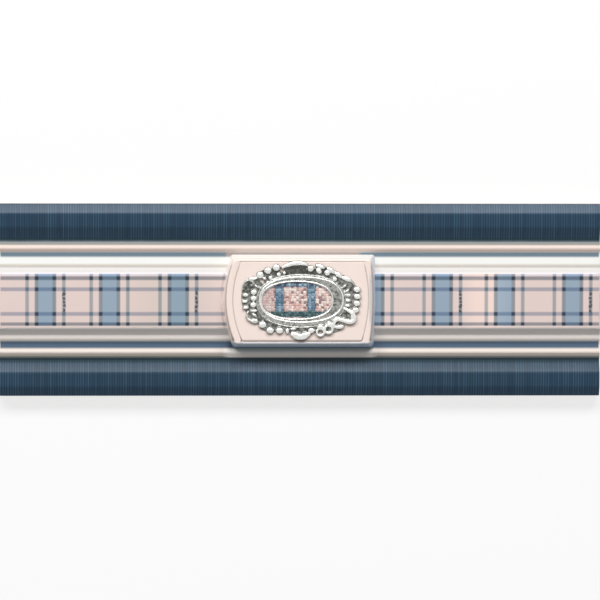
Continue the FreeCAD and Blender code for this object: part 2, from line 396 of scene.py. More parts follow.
@dataclass(frozen=True)
class Plaid:
    """The plaid print: upright bars with a thin line at each side, and four lines along the tile."""

    bars: tuple[float, ...] = (-105.87 * MM, -79.32 * MM, -50.78 * MM, 30.51 * MM, 59.01 * MM, 84.96 * MM,
                               113.35 * MM)
    bar_half: float = 4.4 * MM
    bar_edge: float = 1.5 * MM
    line_offset: float = 7.6 * MM
    line_half: float = 0.72 * MM
    outer_rows: Spot = (9.2 * MM, -9.95 * MM)
    inner_rows: Spot = (4.6 * MM, -5.65 * MM)
    row_half: float = 0.78 * MM
    reach: Spot = (11.0 * MM, -10.6 * MM)
    soft: float = 0.55 * MM
    bar_ink: Colour = (0.405, 0.63, 0.83)
    bar_edge_ink: Colour = (0.84, 0.72, 0.65)
    line_ink: Colour = (0.49, 0.58, 0.645)
    outer_ink: Colour = (0.38, 0.44, 0.50)
    inner_ink: Colour = (0.52, 0.58, 0.69)
    knot_ink: Colour = (0.595, 0.81, 0.85)
    dot_ink: Colour = (0.24, 0.30, 0.36)
    stroke_ink: Colour = (0.14, 0.17, 0.21)
    stroke_share: float = 0.9
    stroke_pitch: float = 1.75 * MM
    stroke_half: float = 0.7 * MM
    stroke_soft: float = 0.4 * MM
    column_half: float = 0.6 * MM
    columns: tuple[float, ...] = (-98.2 * MM, -43.31 * MM, 66.58 * MM, 120.77 * MM)
    column_gap: Step = (0.6 * MM, 0.3 * MM)
    wander_size: float = 2.1 * MM
    wander: Spot = (1.5 * MM, 3.0 * MM)

    @staticmethod
    def nearest(sheet: ShaderSheet, value: Signal, places: Sequence[float]) -> Signal:
        """The distance from a signal to the nearest of several values."""
        gaps = [abs(value - place) for place in places]
        nearest = gaps[0]
        for gap in gaps[1:]:
            nearest = sheet.math("MINIMUM", nearest, gap)
        return nearest

    def over(self, sheet: ShaderSheet, base: object, edge: Signal) -> bpy.types.NodeSocket:
        """Prints the plaid over a base colour.

        Args:
            sheet: The material's node tree.
            base: The glaze under the print.
            edge: A mask for the tile's ends, where the print stops short.

        Returns:
            The printed colour.
        """
        high, low = self.reach
        inside = sheet.across.within((high + low) / 2, (high - low) / 2, self.soft) * (1 - edge)
        gap = self.nearest(sheet, sheet.along, self.bars)
        bars = gap.below(self.bar_half, self.soft) * inside
        rims = bars * gap.above(self.bar_half - self.bar_edge, self.soft)
        thins = gap.within(self.line_offset, self.line_half, self.soft) * inside
        outer, inner = (self.nearest(sheet, sheet.across, rows).below(self.row_half, self.soft) * inside
                        for rows in (self.outer_rows, self.inner_rows))
        inks = ((bars, self.bar_ink), (rims, self.bar_edge_ink), (thins, self.line_ink),
                (outer, self.outer_ink), (inner, self.inner_ink), (thins * inner, self.knot_ink),
                (sheet.math("MAXIMUM", thins, rims) * outer, self.dot_ink), (rims * inner, self.dot_ink),
                (self.strokes(sheet) * self.stroke_share, self.stroke_ink))
        for share, ink in inks:
            base = sheet.tint(share, base, ink)
        return base

    def strokes(self, sheet: ShaderSheet) -> Signal:
        """A mask for the upright columns of stitch marks, which wander a little."""
        wander = sheet.noise(self.wander_size, 2.0) - 0.5
        sideways, upward = self.wander
        stroke = sheet.math("WRAP", sheet.across + wander * upward, self.stroke_pitch, 0.0).within(
            self.stroke_pitch / 2, self.stroke_half, self.stroke_soft)
        column = self.nearest(sheet, sheet.along + wander * sideways, self.columns).below(
            self.column_half, self.stroke_soft)
        top, foot = self.inner_rows
        gap, soft = self.column_gap
        return column * stroke * sheet.across.within((top + foot) / 2, (top - foot) / 2 - gap, soft)


@dataclass(frozen=True)
class BodyGlaze:
    """The body's glazes: blue on the ribbed bands, pale with its print between them, bare clay below."""

    section: Section
    pink: Colour = srgb(226, 206, 199)
    lilac: Colour = srgb(222, 204, 200)
    blotch_size: float = 7 * MM
    blotch_share: float = 0.5
    hem: Colour = srgb(228, 224, 237)
    hem_from: Step = (10.4 * MM, 0.8 * MM)
    hem_share: float = 0.8
    dim: Colour = (0.92, 0.95, 0.93)
    dim_patch: Band = (-54 * MM, 15 * MM, 14 * MM)
    bright: Colour = srgb(246, 221, 211)
    bright_patch: Band = (78 * MM, 9 * MM, 9 * MM)
    bright_share: float = 0.85
    field_lap: Step = (0.2 * MM, 0.5 * MM)
    far_side: Step = (0.0, 2 * MM)
    # Painted light and shade: the far, lamp-facing side's cream is lighter and the near side's darker.
    far_cream_lit: Colour = srgb(223, 223, 219)
    near_cream_shaded: Colour = srgb(207, 200, 195)
    ridge: Colour = srgb(211, 193, 183)
    near_ridge: Colour = srgb(214, 203, 194)
    ridge_from: Step = (20.0 * MM, 0.6 * MM)
    # Painted bounce light: a lighter cream laid inside the plaque's shadow beside its near wall.
    painted_bounce: Colour = srgb(250, 243, 236)
    bounce_patch: tuple[Band, Band] = ((0.0, 31 * MM, 3 * MM), (-21.9 * MM, 2.4 * MM, 1.2 * MM))
    # Painted shade: the far groove beside the field is tinted darker.
    groove_shade: Colour = (0.98, 0.90, 0.83)
    groove: Band = (14.3 * MM, 0.5 * MM, 0.6 * MM)
    flank: Colour = srgb(204, 200, 196)
    flanks: Band = (12.7 * MM, 1.3 * MM, 0.5 * MM)
    # The two copies of one printed line carry painted light and shade: the far ink is lighter, the near ink darker.
    lines: tuple[tuple[Band, Colour], ...] = (
        ((18.9 * MM, 1.0 * MM, 0.8 * MM), srgb(110, 128, 140)),
        ((-18.55 * MM, 1.45 * MM, 0.8 * MM), srgb(86, 106, 128)))
    # Beside the plaque the far line is painted grey instead of blue.
    line_grey: Colour = srgb(160, 148, 143)
    line_grey_at: Band = (-3.1 * MM, 27.9 * MM, 1.2 * MM)
    print_end: Step = (0.5 * MM, 0.25 * MM)
    # Painted contact shadow beside the plaque's near wall and along its left foot.
    contact_shadow: Colour = (0.36, 0.41, 0.42)
    near_wall_shadow: tuple[Band, Band] = ((0.0, 30 * MM, 2 * MM), (-19.0 * MM, 2.1 * MM, 2.6 * MM))
    foot_line: float = 32.95 * MM
    foot_bow: float = 10.8
    foot_half: Step = (0.4 * MM, 0.5 * MM)
    foot_fade: float = 22 * MM
    bleed: Colour = (0.27, 0.34, 0.355)
    bleed_from: Step = (1.65 * MM, 0.7 * MM)
    bleed_held: Spot = (0.5 * MM, 0.6 * MM)
    band_from: Step = (0.35 * MM, 0.4 * MM)
    drip_size: float = 3 * MM
    drip: float = 0.7 * MM
    skirt: Step = (1.2 * MM, 0.15 * MM)
    cut_end: Step = (0.03 * MM, 0.02 * MM)
    roughness: float = 0.35
    bare_roughness: float = 0.85
    specular: float = 0.25
    ripple_size: float = 2.2 * MM
    ripple_depth: float = 0.015 * MM
    biscuit: Biscuit = Biscuit()
    ribbed: RibbedGlaze = RibbedGlaze()
    plaid: Plaid = Plaid()

    def bare(self, sheet: ShaderSheet) -> Signal:
        """A mask for the cut ends and the low part of the walls, where no glaze lies, with a wavy upper edge."""
        s = self.section
        down, soft = self.skirt
        drips = sheet.noise(self.drip_size, 2.0) * self.drip
        low = (sheet.height - drips).below(s.edge_top - down, soft)
        inward, soft = self.cut_end
        return sheet.math("MAXIMUM", low, abs(sheet.along).above(s.half_length - inward, soft))

    def field(self, sheet: ShaderSheet) -> bpy.types.NodeSocket:
        """The field's pink, with soft blotches, one dimmer stretch and one brighter one."""
        blotches = sheet.noise(self.blotch_size, 3.0).above(0.5, 0.5)
        base = sheet.mix(blotches * self.blotch_share, self.pink, self.lilac)
        base = sheet.mix(sheet.across.above(*self.hem_from) * self.hem_share, base, self.hem)
        base = sheet.tint(sheet.along.within(*self.dim_patch), base, self.dim)
        return sheet.mix(sheet.along.within(*self.bright_patch) * self.bright_share, base, self.bright)

    def mouldings(self, sheet: ShaderSheet, bounce_patch: Signal) -> bpy.types.NodeSocket:
        """The pale glaze of the mouldings, with painted light and shade: lighter on the far side, darker on the near
        side, lighter inside the plaque's shadow and darker in the far groove.

        Args:
            sheet: The material's node tree.
            bounce_patch: A mask for the stretch inside the plaque's shadow beside its near wall, where painted
                bounce light lightens the glaze.

        Returns:
            The glaze's colour.
        """
        far, beyond = abs(sheet.across), sheet.across.above(*self.far_side)
        # Painted light and shade: lighter cream on the far side, darker on the near side.
        cream = sheet.mix(beyond, self.near_cream_shaded, self.far_cream_lit)
        ridge = sheet.mix(beyond, self.near_ridge, self.ridge)
        cream = sheet.mix(far.above(*self.ridge_from), cream, ridge)
        # Painted light inside the plaque's shadow.
        cream = sheet.mix(bounce_patch, cream, self.painted_bounce)
        # Painted shade in the far groove.
        cream = sheet.tint(sheet.across.within(*self.groove), cream, self.groove_shade)
        return sheet.mix(far.within(*self.flanks), cream, self.flank)

    def printed(self, sheet: ShaderSheet, base: object) -> bpy.types.NodeSocket:
        """The base colour with the plaid and the two long lines printed over it; beside the plaque the far line is
        grey instead of blue.
        """
        inward, soft = self.print_end
        edge = abs(sheet.along).above(self.section.half_length - inward, soft)
        base = self.plaid.over(sheet, base, edge)
        # Beside the plaque the far line turns grey.
        line_grey_mask = sheet.along.within(*self.line_grey_at) * sheet.across.above(*self.far_side)
        for line, ink in self.lines:
            share = sheet.across.within(*line) * (1 - edge)
            base = sheet.mix(share, base, sheet.mix(line_grey_mask, ink, self.line_grey))
        return base

    def contact_shadowed(self, sheet: ShaderSheet, base: object, on_field: Signal) -> bpy.types.NodeSocket:
        """The base colour with painted contact shadow along the plaque's near side and its left foot."""
        along, across = self.near_wall_shadow
        base = sheet.tint(sheet.along.within(*along) * sheet.across.within(*across), base, self.contact_shadow)
        foot = abs(sheet.along + self.foot_line - sheet.across * sheet.across * self.foot_bow)
        fade = (abs(sheet.across) / self.foot_fade).clamped()
        return sheet.tint(foot.below(*self.foot_half) * fade * on_field, base, self.contact_shadow)

    def material(self) -> bpy.types.Material:
        """Makes the body's material."""
        s = self.section
        sheet = ShaderSheet("body_glaze")
        far, beyond = abs(sheet.across), sheet.across.above(*self.far_side)
        # The patch where painted bounce light lightens the plaque's shadow.
        along, across = self.bounce_patch
        bounce_patch = sheet.across.within(*across) * sheet.along.within(*along)
        lap, soft = self.field_lap
        on_field = far.below(s.field_edge + lap, soft)
        pale = self.printed(sheet, sheet.mix(on_field, self.mouldings(sheet, bounce_patch), self.field(sheet)))
        # Painted contact shadow at the plaque.
        pale = self.contact_shadowed(sheet, pale, on_field)
        # The bleed is held back inside the same painted-light patch.
        by_side, by_bounce_patch = self.bleed_held
        bled = far - (1 - beyond) * by_side - bounce_patch * by_bounce_patch
        inward, soft = self.bleed_from
        pale = sheet.tint(bled.above(s.channel_inner - inward, soft), pale, self.bleed)
        inward, soft = self.band_from
        glaze = sheet.mix(far.above(s.channel_inner - inward, soft), pale, self.ribbed.colour(sheet))
        bare = self.bare(sheet)
        sheet.colour(sheet.mix(bare, glaze, self.biscuit.colour(sheet)))
        sheet.feed("Roughness", self.roughness + bare * (self.bare_roughness - self.roughness))
        sheet.feed("Specular IOR Level", self.specular)
        sheet.bump(sheet.noise(self.ripple_size, 2.0), self.ripple_depth)
        return sheet.material


@dataclass(frozen=True)
class PlaqueGlaze:
    """The pink-white glaze of the plaque, each rim and wall in its own tone, with painted light and shade by side.
    """

    section: Section
    face: Colour = srgb(241, 223, 214)
    rim: Colour = srgb(243, 229, 221)
    blotch_size: float = 6 * MM
    blotch_share: float = 0.5
    # Painted light and shade on the rims: the far rim faces the lamp and gets a darker glaze so its highlight stays
    # under white; the near and right rims are painted bluish grey and grey as shade.
    far_rim_dimmed: Colour = srgb(208, 198, 188)
    far_rim_from: Step = (16.9 * MM, 0.5 * MM)
    near_rim_shade: Colour = srgb(182, 190, 200)
    near_rim_from: Step = (-17.3 * MM, 0.5 * MM)
    right_rim_shade: Colour = srgb(206, 204, 204)
    right_rim_from: Step = (28.3 * MM, 0.5 * MM)
    right_rim_reach: Band = (1.0 * MM, 10 * MM, 5 * MM)
    line: Colour = srgb(192, 173, 164)
    line_depth: Step = (0.12 * MM, 0.1 * MM)
    line_reach: Band = (0.45 * MM, 17.0 * MM, 0.2 * MM)
    line_share: float = 0.8
    # Painted light and shade: the cut line is lighter on the far, lit side and darker on the near, shaded side,
    # where a dark band is also painted.
    far_line_lit: Colour = srgb(234, 220, 210)
    far_line_from: Step = (15 * MM, 2 * MM)
    near_line_shaded: Colour = srgb(118, 112, 108)
    near_line_from: Step = (-15 * MM, 2 * MM)
    near_shade_band: Band = (-16.58 * MM, 0.4 * MM, 0.4 * MM)
    near_shade_reach: Step = (25.2 * MM, 0.4 * MM)
    near_shade_share: float = 0.7
    wall_depth: Step = (1.5 * MM, 1.2 * MM)
    wall_turn: Step = (0.0, 30 * MM)
    # Painted light and shade on the walls: lighter on the left, bluish grey on the right and near sides.
    left_wall_lit: Colour = srgb(253, 242, 234)
    right_wall_shaded: Colour = srgb(224, 230, 240)
    far_wall: Colour = srgb(229, 226, 221)
    far_wall_from: Step = (17.6 * MM, 0.8 * MM)
    near_wall_shaded: Colour = srgb(206, 228, 253)
    near_wall_from: Step = (-17.8 * MM, 0.8 * MM)
    # Painted shadow at the foot of the near wall.
    foot: Colour = (0.55, 0.6, 0.64)
    foot_depth: Step = (4.4 * MM, 3 * MM)
    roughness: float = 0.3
    specular: float = 0.25
    ripple_size: float = 2.5 * MM
    ripple_depth: float = 0.015 * MM

    def top(self, sheet: ShaderSheet, down: Signal) -> bpy.types.NodeSocket:
        """The colour of the face and the rim, with the line cut round it, and painted light and shade on the rims,
        the line and a band along the near side.

        Args:
            sheet: The material's node tree.
            down: How far below the face the place lies.

        Returns:
            The colour.
        """
        blotches = sheet.noise(self.blotch_size, 3.0).above(0.5, 0.5)
        right_shade_mask = sheet.along.above(*self.right_rim_from) * sheet.across.within(*self.right_rim_reach)
        base = sheet.mix(blotches * self.blotch_share, self.face, self.rim)
        # Painted light and shade: a darker far rim against its highlight, a bluish grey near rim and a grey right
        # rim as shade.
        base = sheet.mix(sheet.across.above(*self.far_rim_from), base, self.far_rim_dimmed)
        base = sheet.mix(sheet.across.below(*self.near_rim_from), base, self.near_rim_shade)
        base = sheet.mix(right_shade_mask, base, self.right_rim_shade)
        # Painted light and shade on the cut line, and a painted shade band along the near side.
        ink = sheet.mix(sheet.across.above(*self.far_line_from), self.line, self.far_line_lit)
        ink = sheet.mix(sheet.across.below(*self.near_line_from), ink, self.near_line_shaded)
        cut = down.above(*self.line_depth) * sheet.across.within(*self.line_reach)
        base = sheet.mix(cut * self.line_share, base, ink)
        near_shade_band = sheet.across.within(*self.near_shade_band) * abs(sheet.along).below(*self.near_shade_reach)
        return sheet.mix(near_shade_band * self.near_shade_share, base, self.near_line_shaded)

    def wall(self, sheet: ShaderSheet, down: Signal) -> bpy.types.NodeSocket:
        """The colour of the walls, painted lighter on the left and bluish grey on the right and near sides as light
        and shade, with painted shadow at the foot of the near one.
        """
        at_near = sheet.across.below(*self.near_wall_from)
        wall = sheet.mix(sheet.along.above(*self.wall_turn), self.left_wall_lit, self.right_wall_shaded)
        wall = sheet.mix(sheet.across.above(*self.far_wall_from), wall, self.far_wall)
        wall = sheet.mix(at_near, wall, self.near_wall_shaded)
        return sheet.tint(down.above(*self.foot_depth) * at_near, wall, self.foot)

    def material(self) -> bpy.types.Material:
        """Makes the glaze's material."""
        sheet = ShaderSheet("plaque_glaze")
        down = self.section.plaque_top - sheet.height
        sheet.colour(sheet.mix(down.above(*self.wall_depth), self.top(sheet, down), self.wall(sheet, down)))
        sheet.feed("Roughness", self.roughness)
        sheet.feed("Specular IOR Level", self.specular)
        sheet.bump(sheet.noise(self.ripple_size, 2.0), self.ripple_depth)
        return sheet.material


@dataclass(frozen=True)
class SilverLustre:
    """The silver lustre over the medallion's relief, dark in its hollows."""

    section: Section
    bright: Colour = (0.92, 0.92, 0.88)
    tarnish: Colour = (0.31, 0.315, 0.29)
    pits: Colour = (0.07, 0.072, 0.065)
    rise: float = 0.62 * MM
    rise_start: float = 0.14 * MM
    grain: float = 0.9 * MM
    grain_lift: float = 0.9 * MM
    grain_depth: float = 0.12 * MM
    chasing: float = 1.3 * MM
    chased: Step = (0.5, 0.25)
    crest_from: Step = (11.0 * MM, 1.5 * MM)
    crest_share: float = 0.75
    metallic: float = 0.9
    dull: float = 0.38
    polish: float = 0.14

    def material(self) -> bpy.types.Material:
        """Makes the lustre's material."""
        sheet = ShaderSheet("silver_lustre")
        grain = sheet.noise(self.grain, 3.0)
        risen = (sheet.height + (grain - 0.5) * self.grain_lift).above(
            self.section.seat_top + self.rise / 2 + self.rise_start, self.rise)
        chased = sheet.noise(self.chasing, 2.0).above(*self.chased)
        hollow = sheet.across.above(*self.crest_from) * self.crest_share
        base = sheet.mix(chased * (1 - hollow), self.pits, self.tarnish)
        sheet.colour(sheet.mix(risen, base, self.bright))
        sheet.feed("Metallic", self.metallic)
        sheet.feed("Roughness", self.dull - risen * self.polish)
        sheet.bump(grain, self.grain_depth)
        return sheet.material


@dataclass(frozen=True)
class StitchedPrint:
    """The inlay's print, a small plaid worked in cross stitch."""

    stitch: float = 1.04 * MM
    pull: float = 1.1 * MM
    pull_size: float = 1.6 * MM
    pink: Colour = srgb(222, 184, 184)
    salmon: Colour = srgb(214, 164, 148)
    salmon_clouds: Step = (0.52, 0.22)
    pale: Colour = srgb(244, 232, 222)
    pale_mix: Spot = (0.6, 0.5)
    pale_from: Step = (0.6, 0.3)
    shade: Colour = srgb(126, 104, 104)
    shade_from: Step = (0.8, 0.12)
    shade_share: float = 0.85
    faded: Colour = srgb(190, 170, 168)
    faded_from: Step = (-12.0 * MM, 5 * MM)
    faded_share: float = 0.6
    blue: Colour = srgb(76, 108, 132)
    sky: Colour = srgb(166, 190, 204)
    green: Colour = srgb(44, 72, 74)
    teal: Colour = srgb(104, 136, 140)
    navy: Colour = srgb(52, 68, 92)
    cloud_size: float = 1.7 * MM
    bars: Spot = (-8.97 * MM, 4.15 * MM)
    bar_half: float = 1.7 * MM
    rows: Spot = (7.0 * MM, -5.5 * MM)
    row_half: float = 1.25 * MM
    soft: float = 0.3 * MM
    far_side: Step = (0.0, 1 * MM)
    # The colour of the gaps between stitches, also used for the painted shade along the far rim.
    gap: Colour = (0.50, 0.48, 0.48)
    gap_from: Step = (0.85, 0.4)
    gap_clouds: Step = (0.5, 0.4)
    gap_share: float = 0.8
    knot: Colour = (0.16, 0.17, 0.22)
    knot_line: Band = (0.15 * MM, 0.3 * MM, 0.2 * MM)
    knot_heart: Step = (0.8, 0.3)
    knot_picks: Step = (0.4, 0.2)
    oval: tuple[Spot, Spot] = ((-1.75 * MM, 0.35 * MM), (14.7 * MM, 7.7 * MM))
    rim_from: Step = (0.9, 0.12)
    rim_side: Step = (0.3, 0.5)
    roughness: float = 0.4
    specular: float = 0.3
    thread: Step = (0.7, 0.6)
    thread_depth: float = 0.12 * MM

    def pulled(self, sheet: ShaderSheet) -> bpy.types.NodeSocket:
        """The place on the face, pulled about a little as the stitches are."""
        made = sheet.node("ShaderNodeTexNoise", {"noise_dimensions": "3D"},
                          {"Vector": sheet.place, "Scale": 1 / self.pull_size, "Detail": 1.0})
        centred = sheet.node("ShaderNodeVectorMath", {"operation": "SUBTRACT"},
                             {0: made.outputs["Color"], 1: (0.5, 0.5, 0.5)})
        moved = sheet.node("ShaderNodeVectorMath", {"operation": "MULTIPLY_ADD"},
                           {0: centred.outputs["Vector"], 1: (self.pull, self.pull, 0.0), 2: sheet.place})
        return moved.outputs["Vector"]

    def chance(self, sheet: ShaderSheet, place: bpy.types.NodeSocket, shift: float) -> Signal:
        """A number between 0 and 1 that is the same all over a stitch and differs from stitch to stitch."""
        cell = sheet.node("ShaderNodeVectorMath", {"operation": "SNAP"}, {0: place, 1: (self.stitch,) * 3})
        moved = sheet.node("ShaderNodeVectorMath", {"operation": "ADD"},
                           {0: cell.outputs["Vector"], 1: (shift,) * 3})
        made = sheet.node("ShaderNodeTexWhiteNoise", {"noise_dimensions": "2D"},
                          {"Vector": moved.outputs["Vector"]})
        return Signal(sheet, made.outputs["Value"])

    def ground(self, sheet: ShaderSheet, along: Signal, tone: Signal, accent: Signal,
               cloud: Signal) -> bpy.types.NodeSocket:
        """The pink ground under the plaid.

        Args:
            sheet: The material's node tree.
            along: The pulled place along the tile.
            tone: A chance for each stitch.
            accent: A second chance for each stitch.
            cloud: Soft noise.

        Returns:
            The ground's colour.
        """
        by_tone, by_cloud = self.pale_mix
        base = sheet.mix(cloud.above(*self.salmon_clouds), self.pink, self.salmon)
        base = sheet.mix((tone * by_tone + cloud * by_cloud).above(*self.pale_from), base, self.pale)
        base = sheet.mix(accent.above(*self.shade_from) * self.shade_share, base, self.shade)
        return sheet.mix(along.below(*self.faded_from) * self.faded_share, base, self.faded)

    def rim(self, sheet: ShaderSheet) -> Signal:
        """A mask for the shade under the ring along the inlay's far rim."""
        (mid_x, mid_y), (half_x, half_y) = self.oval
        out_x, out_y = (sheet.along - mid_x) / half_x, (sheet.across - mid_y) / half_y
        return (out_x * out_x + out_y * out_y).above(*self.rim_from) * out_y.above(*self.rim_side)

    def material(self) -> bpy.types.Material:
        """Makes the print's material."""
        sheet = ShaderSheet("stitched_print")
        place = self.pulled(sheet)
        axes = sheet.node("ShaderNodeSeparateXYZ", {}, {"Vector": place})
        along, across = (Signal(sheet, axes.outputs[name]) for name in ("X", "Y"))
        tone, accent = self.chance(sheet, place, 0.0), self.chance(sheet, place, 3.7)
        half = self.stitch / 2
        off = [abs(sheet.math("WRAP", value, self.stitch, 0.0) - half) / half for value in (along, across)]
        border = sheet.math("MAXIMUM", *off)
        cloud = sheet.noise(self.cloud_size, 2.0)
        bar_gap, row_gap = Plaid.nearest(sheet, along, self.bars), Plaid.nearest(sheet, across, self.rows)
        base = sheet.mix(bar_gap.below(self.bar_half, self.soft), self.ground(sheet, along, tone, accent, cloud),
                         sheet.mix(tone * tone, self.blue, self.sky))
        far_row = sheet.mix(tone * tone, self.navy, self.sky)
        near_row = sheet.mix(accent * accent, self.green, self.teal)
        row = sheet.mix(across.above(*self.far_side), near_row, far_row)
        base = sheet.mix(row_gap.below(self.row_half, self.soft), base, row)
        gaps = border.above(*self.gap_from) * cloud.above(*self.gap_clouds)
        base = sheet.tint(gaps * self.gap_share, base, self.gap)
        outward, reach, soft = self.knot_line
        knots = bar_gap.within(self.bar_half + outward, reach, soft) * border.below(*self.knot_heart)
        base = sheet.tint(knots * tone.above(*self.knot_picks), base, self.knot)
        # Painted shade along the inlay's far rim, in the stitch-gap colour.
        sheet.colour(sheet.tint(self.rim(sheet), base, self.gap))
        sheet.feed("Roughness", self.roughness)
        sheet.feed("Specular IOR Level", self.specular)
        sheet.bump(border.below(*self.thread), self.thread_depth)
        return sheet.material


class Modelling:
    """Edit-mode work on the active mesh, as done by hand."""

    @staticmethod
    def start_box(name: str, low: Sequence[float], high: Sequence[float]) -> bpy.types.Object:
        """Adds a box between two corners and leaves it in edit mode with nothing selected.

        Args:
            name: The new piece's name.
            low: The lowest corner.
            high: The highest corner.

        Returns:
            The new object.
        """
        bpy.ops.object.select_all(action="DESELECT")
        centre = [(a + b) / 2 for a, b in zip(low, high)]
        size = [b - a for a, b in zip(low, high)]
        bpy.ops.mesh.primitive_cube_add(size=1.0, location=centre, scale=size)
        piece = bpy.context.object
        piece.name = name
        piece.data.name = name
        bpy.ops.object.transform_apply(location=True, rotation=True, scale=True)
        bpy.ops.object.mode_set(mode="EDIT")
        bpy.ops.mesh.select_all(action="DESELECT")
        return piece

    @staticmethod
    def select(piece: bpy.types.Object, pick: Pick, test: Test) -> None:
        """Selects the vertices, edges or faces of a piece in edit mode whose every corner passes a test.

        Args:
            piece: The piece in edit mode.
            pick: What is selected.
            test: Says of a corner's place whether it counts.
        """
        bpy.ops.mesh.select_mode(type=pick.value)
        bpy.ops.mesh.select_all(action="DESELECT")
        bpy.ops.object.mode_set(mode="OBJECT")
        mesh = piece.data
        good = [test(v.co) for v in mesh.vertices]
        if pick is Pick.CORNERS:
            chosen = [v for v in mesh.vertices if good[v.index]]
        else:
            items = mesh.edges if pick is Pick.EDGES else mesh.polygons
            chosen = [e for e in items if all(good[i] for i in e.vertices)]
        for item in chosen:
            item.select = True
        bpy.ops.object.mode_set(mode="EDIT")

    @staticmethod
    def select_edges(piece: bpy.types.Object, test: EdgeTest) -> None:
        """Selects the edges of a piece in edit mode whose two ends, taken together, pass a test.

        Args:
            piece: The piece in edit mode.
            test: Says of an edge's two ends whether it counts.
        """
        bpy.ops.mesh.select_mode(type="EDGE")
        bpy.ops.mesh.select_all(action="DESELECT")
        bpy.ops.object.mode_set(mode="OBJECT")
        mesh = piece.data
        for edge in [e for e in mesh.edges if test(*(mesh.vertices[i].co for i in e.vertices))]:
            edge.select = True
        bpy.ops.object.mode_set(mode="EDIT")

    @staticmethod
    def finish(piece: bpy.types.Object, angle: float = 40.0) -> bpy.types.Object:
        """Leaves edit mode, sets outward normals and shades smooth up to an angle.

        Args:
            piece: The piece in edit mode.
            angle: The sharpest fold, in degrees, that is shaded smooth.

        Returns:
            The same piece.
        """
        bpy.ops.mesh.select_mode(type="FACE")
        bpy.ops.mesh.select_all(action="SELECT")
        bpy.ops.mesh.normals_make_consistent(inside=False)
        bpy.ops.mesh.select_all(action="DESELECT")
        bpy.ops.object.mode_set(mode="OBJECT")
        bpy.ops.object.shade_smooth_by_angle(angle=math.radians(angle))
        weigh = piece.modifiers.new("weighted", "WEIGHTED_NORMAL")
        weigh.keep_sharp = True
        bpy.ops.object.modifier_apply(modifier=weigh.name)
        return piece


def near(first: float, second: float) -> bool:
    """Says whether two places are the same to within a few hundredths of a millimetre."""
    return abs(first - second) < SAME_PLACE


def dress(piece: bpy.types.Object, material: bpy.types.Material) -> None:
    """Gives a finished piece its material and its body.

    Args:
        piece: The finished piece.
        material: Its finish.
    """
    piece.data.materials.clear()
    piece.data.materials.append(material)
    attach(piece, "root")
    LOG.info("%s: %d faces", piece.name, len(piece.data.polygons))


